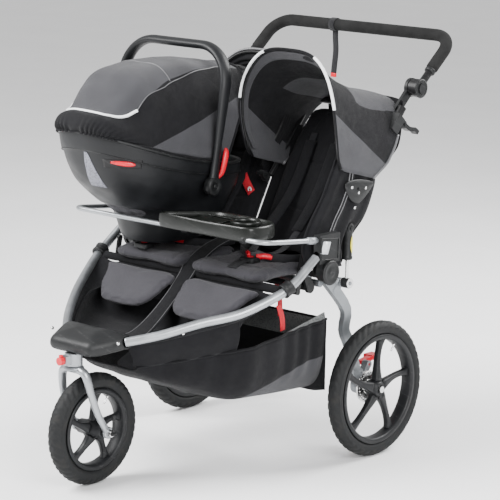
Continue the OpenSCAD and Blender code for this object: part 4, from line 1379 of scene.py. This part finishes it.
def shell_ring(front_y, front_z, back_y, back_z, half, sag, count=120, inset=0.0):
    a = np.linspace(0, 2 * math.pi, count, endpoint=False)
    c, s = np.cos(a), np.sin(a)
    power = np.where(c < 0, 0.85, 0.62)
    back_share = (1 + np.sign(c) * np.abs(c) ** power) / 2
    x = (half - inset) * np.sign(s) * np.abs(s) ** power
    y = front_y + inset + (back_y - front_y - 2 * inset) * back_share
    z = front_z + (back_z - front_z) * back_share - sag * 4 * back_share * (1 - back_share)
    return np.column_stack([CARRIER_X + x, y, z])


def carrier_shell():
    """Moulded shell with a rolled rim, a speckled side patch and a lip round its edge."""
    rows = spline([shell_ring(*r) for r in SHELL_RINGS], 110)
    inner_rings = [
        [-425, 936, 122, 819, 180, 28], [-420, 936, 118, 818, 174, 28], [-412, 912, 114, 800, 168, 26],
        [-384, 834, 108, 768, 158, 16],
    ]
    rows = np.concatenate([rows, spline([shell_ring(*r) for r in inner_rings], 24)])
    middle = rows[0].mean(0)
    floor = [middle + (rows[0] - middle) * k for k in (0.01, 0.4, 0.8)]
    speckled = []
    for level, row in enumerate(rows[48:74]):
        turns = np.interp(np.linspace(0, 1, 24), [0, 1], [55.5 + 0.11 * level, 60.5 - 0.06 * level])
        speckled.append([[np.interp(t, np.arange(120), row[:, axis]) for axis in range(3)] for t in turns])
    speckled = np.array(speckled)
    patch = Piece().grid(speckled + grid_normals(speckled) * 0.8)
    thicken(patch.object("carrier_speckled_patch", SPECKLED, "carrier", "grey_fabric"), 0.8, 0)
    p = np.concatenate([floor, rows])
    Piece().grid(p, close_v=True).object(
        "carrier_shell_body", GLOSSY, "carrier", "tray_plastic", ["carrier_shell"])
    trim = Piece()
    groove = shell_ring(-416, 884, 124, 787, 184.5, 25, count=200)
    trim.tube(groove, 1.6, n=8, closed=True)
    lip = shell_ring(-426, 934, 123, 817, 184.5, 28, count=200)
    trim.tube(lip, 4, n=12, closed=True)
    trim.object("carrier_rim_lip", BLACK, "carrier", "black_plastic")


PATCH_PLANE = 600.0  # x of the plane in which a patch's corners are given
SHELL_SIDE = 130  # from the carrier's middle to about its side
CAST_FROM = 400  # how far off the surface a patch starts


def draped_patch(name, corners, target, look, body, finish, lift=0.9, size=26, towards=-X):
    """A flat patch, its four corners given as [y, z] right of the stroller, laid on a surface."""
    a, b, c, d = (np.array(p, float) for p in corners)
    u, v = np.linspace(0, 1, size)[:, None, None], np.linspace(0, 1, size)[None, :, None]
    flat = (a * (1 - v) + b * v) * (1 - u) + (d * (1 - v) + c * v) * u
    points = np.concatenate([np.full(flat.shape[:2] + (1,), PATCH_PLANE), flat], axis=2)
    points = points + unit(towards) * (CARRIER_X + SHELL_SIDE - PATCH_PLANE) / unit(towards)[0]
    placed = landed(points - CAST_FROM * unit(towards), tree_of(target), towards, lift)
    return thicken(Piece().grid(placed).object(name, look, body, finish), 0.8, 0)


def carrier_marks():
    """The slot around the release lever, and the lever."""
    shell = bpy.data.objects["carrier_shell_body"]
    lever_low, lever_high = node_box("carrier_release")
    mid_y, mid_z = (lever_low[1] + lever_high[1]) / 2, (lever_low[2] + lever_high[2]) / 2
    draped_patch("carrier_release_slot",
                 [[mid_y - 36, mid_z + 12], [mid_y + 36, mid_z + 9], [mid_y + 40, mid_z - 14],
                  [mid_y - 28, mid_z - 12]], shell, BLACK_TUBE, "carrier", "black_plastic", 0.6)
    lever = Piece()
    line = spline([[CARRIER_X + 260, mid_y + d, mid_z - 0.14 * d] for d in (-24, 0, 22)], 30)
    path = landed(line, tree_of(shell), -X, 3)
    size = spline([[3], [6], [7], [6.5], [2.5]], 30)[:, 0]
    lever.tube(path, size, n=16, flat=0.55, side=Z)
    lever.object("carrier_release_lever", RED, "carrier_release", "red_plastic", ["carrier_release"])


def carrier_handle():
    """Tall arch over the carrier, with a round boss at each pivot."""
    path = leant(CARRIER_PIVOT, math.radians(80.7), arch_path(198, 386, 104, 0, 160))
    end = np.minimum(np.arange(160), np.arange(160)[::-1])
    radius = 13.4 + 5 * np.exp(-((end / 7.0) ** 2)) + 6.6 * np.clip((end - 18) / 22, 0, 1)
    arch = Piece().tube(path, radius, n=28, flat=0.62, side=Y)
    arch.object("carrier_handle_arch", GLOSSY, "carrier_handle", "tray_plastic", ["carrier_handle"])
    discs = Piece()
    for s in (-1, 1):
        profile = [[8, -12], [25, -12], [27, -9], [27, 8], [24, 11.5], [14, 13], [12, 11.5], [8, 11.5]]
        discs.spin(CARRIER_PIVOT + [s * 198, 0, 0], profile, 48, axis=X * s)
        centre = CARRIER_PIVOT + [s * 198, 0, 0]
        discs.spin(centre, [[0.1, 5], [7.5, 5], [8, 7], [7, 12.5], [0.1, 13]], 30, axis=X * s)
    discs.object("carrier_handle_hinges", BLACK, "carrier_handle", "black_plastic")
    levers = Piece()
    foot = CARRIER_PIVOT + [0, 31, 30]
    for s in (-1, 1):
        lever = spline([foot + [s * 199, -10, -8], foot + [s * 203, 0, 6], foot + [s * 205, 8, 34],
                        foot + [s * 204, 15, 60], foot + [s * 200, 18, 72]], 26)
        size = spline([[5], [8.5], [9.5], [9], [4]], 26)[:, 0]
        levers.tube(lever, size, n=18, flat=0.7, side=Y)
    body = "carrier_handle_levers"
    levers.object("carrier_handle_triggers", RED, body, "red_plastic", [body])


# Arches of the hood: foot y and z, crest y and z, half width at the foot and at the crest
HOOD_ARCHES = [
    [-352, 907, -432, 934, 134, 100], [-322, 900, -442, 956, 156, 110], [-280, 888, -426, 982, 171, 120],
    [-232, 874, -378, 998, 180, 130], [-180, 862, -334, 1052, 185, 137], [-130, 851, -292, 1090, 187, 142],
    [-92, 846, -200, 1106, 187, 146], [-66, 842, -100, 1110, 187, 148], [-46, 838, 22, 1102, 187, 150],
    [-22, 834, 140, 1080, 186, 152],
]


def hood_arch(foot_y, foot_z, crest_y, crest_z, foot_half, crest_half, count=81, grow=0.0):
    t = np.linspace(0, math.pi, count)
    rise = np.sin(t).clip(0) ** 0.66
    across = np.sign(np.cos(t)) * np.abs(np.cos(t)) ** 0.6
    half = foot_half + grow + (crest_half - foot_half) * rise**0.8
    x = CARRIER_X + half * across
    return np.column_stack([x, foot_y + (crest_y - foot_y) * rise, foot_z + (crest_z + grow - foot_z) * rise])


def carrier_hood():
    """Gathered hood with grey side panels, a grey top panel, piping and its elastic front."""
    rows = [hood_arch(*a) for a in HOOD_ARCHES]
    sheet = net(rows, 110, 150)
    u = np.linspace(0, 1, 110)[:, None]
    v = np.linspace(0, 1, 150)[None]
    gathers = 2.4 * np.sin(150 * v + 3 * np.sin(9 * u)) * np.exp(-((u / 0.13) ** 2))
    sheet = sheet + grid_normals(sheet) * gathers[..., None]
    sheet = rumpled(sheet, 2.6, 60, 21)
    hood = Piece().grid(sheet).object("carrier_hood_sheet", [CLOTH, GREY])
    recolour(hood, [([0, -308, 893], [0, 101, -341])], 1, lambda c: abs(c[0] - CARRIER_X) > 134)
    above = 1200
    half_outline = np.array([
        [52, -398], [84, -380], [106, -348], [120, -314], [124, -212], [88, 60], [78, 150],
    ])
    panel = np.concatenate([half_outline, half_outline[::-1] * [-1, 1]])
    panel = np.column_stack([CARRIER_X + panel[:, 0], panel[:, 1], np.full(len(panel), above)])
    recolour(hood, outline_planes(panel, Z), 1, lambda c: c[2] > 900)
    thicken(hood, 2.2)
    tree = tree_of(hood)
    turn = len(half_outline) * 2
    front = spline([panel[(k + turn) % turn] for k in (3, 2, 1, 0, -1, -2, -3, -4)], 90)
    piping = Piece().tube(landed(front, tree, -Z, -0.5), 4.2, n=12)
    seams = Piece()
    for a, b in ((3, 4), (4, 5), (-4, -5), (-5, -6)):
        line = spline([panel[a % turn], panel[b % turn]], 40)
        seams.tube(landed(line, tree, -Z, -0.4), 1.3, n=8)
    across = np.linspace(CARRIER_X - 118, CARRIER_X + 118, 60)
    crest = np.column_stack([across, np.full(60, -185), np.full(60, above)])
    seams.tube(landed(crest, tree, -Z, -0.4), 1.3, n=8)
    edge = Piece()
    edge.tube(hood_arch(*HOOD_ARCHES[-1], count=160, grow=0.5), 3.4, n=12)
    edge.tube(sheet[0], 3.0, n=10)
    for line in (sheet[:, 0], sheet[:, -1]):
        edge.tube(line, 3.0, n=10)
    pieces = [
        (hood, "black_fabric"), (piping.object("carrier_hood_piping", PIPING), "grey_fabric"),
        (seams.object("carrier_hood_seams", EDGING), "grey_fabric"),
        (edge.object("carrier_hood_hem", CLOTH), "black_fabric"),
    ]
    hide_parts("carrier_hood")
    for piece, finish in pieces:
        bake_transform(piece)


def carrier_liner():
    """Padded seat inside the shell, with a harness and its buckle."""
    rings = [
        [-402, 905, 106, 806, 158, 24], [-386, 850, 100, 776, 150, 16], [-340, 782, 90, 736, 134, 10],
        [-282, 720, 70, 694, 112, 6], [-216, 672, 36, 668, 78, 0], [-160, 656, -20, 655, 30, 0],
        [-112, 652, -70, 652, 4, 0],
    ]
    rows = spline([shell_ring(*r, count=110) for r in rings], 70)
    down = np.linspace(0, 1, 70)[:, None]
    around = np.linspace(0, 2 * math.pi, 110, endpoint=False)[None]
    seam = 4 * np.exp(-(((down - 0.35) / 0.02) ** 2))
    quilt = 3 * np.abs(np.sin(9 * around)) * np.sin(math.pi * down) - seam
    p = rows + grid_normals(rows) * -quilt[..., None]
    liner = Piece().grid(rumpled(p, 2.2, 48, 17), close_v=True).object(
        "carrier_liner_cloth", SEAT_GREY, "carrier", "grey_fabric", ["carrier_liner"])
    thicken(liner, 3, 0)
    straps = Piece()
    for s in (-1, 1):
        straps.strap(spline([[CARRIER_X + s * 42, -330, 790], [CARRIER_X + s * 40, -262, 736],
                             [CARRIER_X + s * 30, -190, 700], [CARRIER_X + s * 14, -140, 690]], 30), 26, 5, X)
    straps.object("carrier_harness", STRAP, "carrier", "black_fabric")
    buckle = Piece().spin(np.array([CARRIER_X, -124, 688]), [
        [0.1, -8], [15, -8], [18, -5], [18, 4], [14, 8], [0.1, 9]], 32, 0, Z, X)
    buckle.object("carrier_harness_buckle", RED, "carrier", "red_plastic")


carrier_shell()
carrier_marks()
carrier_handle()
carrier_hood()
carrier_liner()


# ---- Harness, brackets and shocks ----


def buckle_case(button):
    """Rounded case that stands around a buckle's button."""
    shape = rounded([[-22, -20], [0, -24], [22, -20], [25, 0], [20, 19], [0, 22], [-20, 19], [-25, 0]], 60)
    rows = [np.column_stack([button[:2] + shape * k, np.full(60, SEAT_TOP + z)]) for k, z in (
        (0.3, 3), (0.94, 3), (1.0, 7), (1.0, 12), (0.93, 16.5), (0.5, 17.5), (0.02, 17.5),
    )]
    return Piece().grid(net(rows, 24, 60, closed=True), close_v=True)


def harness(side):
    """Shoulder straps with pads, lap straps, red tongues and the buckle of one seat."""
    webs, upper_webs, pads, tongues = Piece(), Piece(), Piece(), Piece()
    low, high = node_box("buckle_button_" + side)
    button = (low + high) / 2
    middle = 150 if side == "right" else -150
    for s in (-1, 1):
        strap_x = middle + s * 46
        shoulder = BACK_HINGE * [0, 1, 1] + [strap_x, 0, 0] + 372 * BACK_UP + 24 * BACK_OUT
        chest = BACK_HINGE * [0, 1, 1] + [strap_x, 0, 0] + 190 * BACK_UP + 30 * BACK_OUT
        ends = [[button[0] + s * 32, -56, 597], [button[0] + s * 30, -66, 592]]
        path = spline([shoulder, chest, [strap_x + s * 6, 30, 616], ends[0]], 60)
        upper_webs.strap(path[:42], 24, 2, X)
        webs.strap(path[40:], 24, 2, X)
        pads.strap(path[4:34] + BACK_OUT * 3.5, 40, 9, X)
        lap = spline([[middle + s * 122, 60, 590], [middle + s * 100, 0, 584], ends[1]], 30)
        webs.strap(lap, 24, 2, Z)
        tip = spline([lap[-5], [button[0] + s * 28, -72, 594], [button[0] + s * 14, -86, 592]], 16)
        tongues.strap(tip, 17, 9, Z)
    crotch = spline([[button[0], y, SEAT_TOP + z] for y, z in ((-170, -2), (-140, 8), (-112, 9))], 20)
    webs.strap(crotch, 34, 3, X)
    webs.object("lap_straps_" + side, STRAP, "front_frame", "black_fabric")
    upper_webs.object("shoulder_straps_" + side, STRAP, "seat_back_" + side, "black_fabric")
    pads.object("shoulder_pads_" + side, CLOTH, "seat_back_" + side, "black_fabric")
    tongues.object("harness_tongues_" + side, RED, "front_frame", "red_plastic")
    stands_for = ["harness_buckles"] if side == "right" else []
    buckle_case(button).object("buckle_case_" + side, BLACK, "front_frame", "black_plastic", stands_for)


def red_tag():
    """Red strap with a plain ring rivet across the left seat back."""
    strap = spline([[-95, 180, 752], [-72, 171, 728], [-45, 160, 708]], 16)
    Piece().strap(strap + BACK_OUT * 14, 26, 2.5, unit([0.74, 0.3, 0.6])).object(
        "seat_tag", RED_STRAP, "seat_back_left", "red_plastic")
    ring = [[4, -1], [8, -1], [9, 0.5], [8, 2], [4, 2], [3.4, 0.5], [4, -1]]
    Piece().spin(strap[12] + BACK_OUT * 15.4, ring, 28, axis=BACK_OUT).object(
        "seat_tag_rivet", PATCH, "seat_back_left", "silver_tube")


def bracket_marks():
    """Raised frame and pale reflective patch on each hub bracket, with rivets below."""
    frames, patches, rivets = Piece(), Piece(), Piece()
    face = node_box("hub_brackets")[1][0]
    border = [[-36, 664], [38, 656], [36, 600], [-34, 604]]
    loop = spaced([[face + 0.6, *p] for p in border + border[:1]], 80)[:-1]
    frames.tube(loop, 1.6, n=8, closed=True)
    patch = [[face + 1.2, y, z] for y, z in ((-26, 655), (4, 650), (-8, 617), (-37, 622))]
    patches.add(patch + [[x - 1.5, y, z] for x, y, z in patch],
                [(0, 1, 2, 3), (7, 6, 5, 4), (0, 4, 5, 1), (1, 5, 6, 2), (2, 6, 7, 3), (3, 7, 4, 0)])
    for y, z in ((6, 593), (10, 584)):
        rivets.spin(np.array([face, y, z]), [[0.1, -1], [3.4, -1], [3.4, 0.8], [2.4, 2], [0.1, 2.3]], 20)
    frames.mirror().object("bracket_borders", BLACK, "front_frame", "black_plastic")
    patches.mirror().object("bracket_patches", PATCH, "front_frame", "silver_tube")
    rivets.mirror().object("bracket_rivets", STEEL, "front_frame", "steel")


def hub_caps():
    cap = [[0.1, 0], [33, 0], [34.5, 2], [33, 5], [27, 6.5], [25, 5], [12, 5], [10, 6.5], [0.1, 7]]
    caps = Piece().spin(pivot("frame_fold") * [0, 1, 1] + [380, 0, 0], cap, 56).mirror()
    caps.object("hub_caps", BLACK, "front_frame", "black_plastic")


def canopy_mount_plates():
    """Rounded triangular plate at each canopy hinge, with three rivets."""
    plates, rivets = Piece(), Piece()
    at = CANOPY_PIVOT
    outline = rounded([[-52, 18], [0, 26], [66, 12], [60, -6], [18, -38], [-6, -40], [-34, -22]], 70)
    rows = [np.column_stack([np.full(70, 349 + d), at[1] + outline[:, 0] * k, at[2] + outline[:, 1] * k])
            for k, d in ((0.96, -3), (1.0, -2), (1.0, 0.5), (0.94, 2.2), (0.5, 3), (0.02, 3))]
    plates.grid(np.array(rows), close_v=True).mirror()
    plates.object("canopy_mount_plates", BLACK, "upper_frame", "black_plastic")
    for y, z in ((-26, 6), (34, -2), (4, -12), (-12, -52)):
        head = [[0.1, -3], [4.2, -3], [4.2, 1], [3, 2.4], [0.1, 2.8]]
        rivets.spin(np.array([351, at[1] + y, at[2] + z]), head, 22)
    rivets.mirror().object("canopy_mount_rivets", STEEL, "upper_frame", "steel")


def shocks():
    """Shock bodies with end rings and a plain yellow oval, and a knob on each lower eye."""
    top = pivot("shock_tilt")
    low = node_box("shock_cylinders")[0][2]
    bodies, ovals, knobs = Piece(), Piece(), Piece()
    base = np.array([330, top[1], 0])
    profile = [
        [5.6, low + 0.5], [12, low + 0.5], [14.5, low + 3], [14.5, low + 9], [13.2, low + 11],
        [13.6, low + 40],
        [13.2, low + 76], [14.6, low + 79], [14.6, low + 86], [12, low + 92], [4, low + 98], [0.1, low + 99],
        [0.1, low + 82], [10.2, low + 80], [10.2, low + 6], [5.6, low + 5],
    ]
    bodies.spin(base, profile, 40, 0, Z, X)
    eye = [[5.1, -13], [12, -13], [13, -11], [13, 11], [12, 13], [5.1, 13]]
    bodies.spin(top * [0, 1, 1] + [330, 0, 0], eye, 36)
    bodies.mirror().object("shock_bodies", BLACK, "shock_cylinder", "black_plastic", ["shock_cylinders"])
    u = np.linspace(0, 2 * math.pi, 40, endpoint=False)
    rows = []
    for k in (1.0, 0.7, 0.35, 0.02):
        along = 23 * k * np.sin(u)
        turn = 0.42 * k * np.cos(u) + math.radians(12)
        rows.append(base + np.column_stack([14.3 * np.cos(turn), 14.3 * np.sin(turn), low + 44 + along]))
    ovals.grid(np.array(rows), close_v=True)
    oval = ovals.mirror().object("shock_ovals", YELLOW, "shock_cylinder", "black_plastic")
    thicken(oval, 0.6, 0)
    eye = node_box("shock_rods")
    centre = np.array([330, (eye[0][1] + eye[1][1]) / 2, eye[0][2] + 14])
    knob = [[6, -12.5], [13, -12.5], [14.6, -10], [14.6, 10], [13, 12.5], [6, 12.5]]
    knobs.spin(centre, knob, 40).mirror().object("shock_eye_covers", BLACK, "shock_rod", "black_plastic")


harness("right")
harness("left")
red_tag()
bracket_marks()
hub_caps()
canopy_mount_plates()
shocks()


# ---- Floor, light and camera ----


def stage():
    """Pale floor and a plain pale room of soft light."""
    bpy.ops.mesh.primitive_plane_add(size=30, location=(0, 0, 0))
    floor = bpy.context.object
    floor.name = "floor"
    n = Nodes("pale_floor")
    shade = n.mix(n.ramp(n.noise(400), 0.3, 0.7), (0.93, 0.93, 0.935), (0.96, 0.96, 0.965))
    floor.data.materials.append(n.finish(shade, 0.85))
    world = bpy.data.worlds.new("studio")
    bpy.context.scene.world = world
    world.use_nodes = True
    nodes, links = world.node_tree.nodes, world.node_tree.links
    rays = nodes.new("ShaderNodeLightPath")
    strength = nodes.new("ShaderNodeMapRange")
    strength.inputs["To Min"].default_value = 0.85
    strength.inputs["To Max"].default_value = 9.0
    links.new(rays.outputs["Is Camera Ray"], strength.inputs["Value"])
    nodes["Background"].inputs["Color"].default_value = (1, 1, 1, 1)
    links.new(strength.outputs[0], nodes["Background"].inputs["Strength"])
    target = Vector(metres([0, -80, 600]))
    for name, place, size, power in (
        ("key", (-1.6, -2.6, 3.4), 2.6, 480),
        ("fill", (3.4, -1.6, 2.2), 2.2, 200),
        ("rim", (1.2, 3.0, 2.8), 2.0, 220),
    ):
        light = bpy.data.lights.new(name, "AREA")
        light.size, light.energy = size, power
        lamp = bpy.data.objects.new(name, light)
        lamp.location = place
        lamp.rotation_euler = (target - Vector(place)).to_track_quat("-Z", "Y").to_euler()
        bpy.context.scene.collection.objects.link(lamp)


def camera():
    """A long lens, in front and to the right of the stroller and a little above it."""
    azimuth, elevation, roll = (math.radians(a) for a in (41.84, 11.354, 0.984))
    back = Vector((math.sin(azimuth) * math.cos(elevation), -math.cos(azimuth) * math.cos(elevation),
                   math.sin(elevation)))
    right = back.cross(Vector((0, 0, -1))).normalized()
    up = back.cross(right)
    tilted_right = right * math.cos(roll) + up * math.sin(roll)
    tilted_up = up * math.cos(roll) - right * math.sin(roll)
    lens = bpy.data.cameras.new("camera")
    lens.lens = 166.95
    lens.sensor_width = 36
    lens.clip_end = 100
    view = bpy.data.objects.new("camera", lens)
    axes = Matrix((tilted_right, tilted_up, back)).transposed()
    view.matrix_world = Matrix.Translation(metres([4340.4, -4752.3, 1866.2])) @ axes.to_4x4()
    bpy.context.scene.collection.objects.link(view)
    bpy.context.scene.camera = view


stage()
camera()
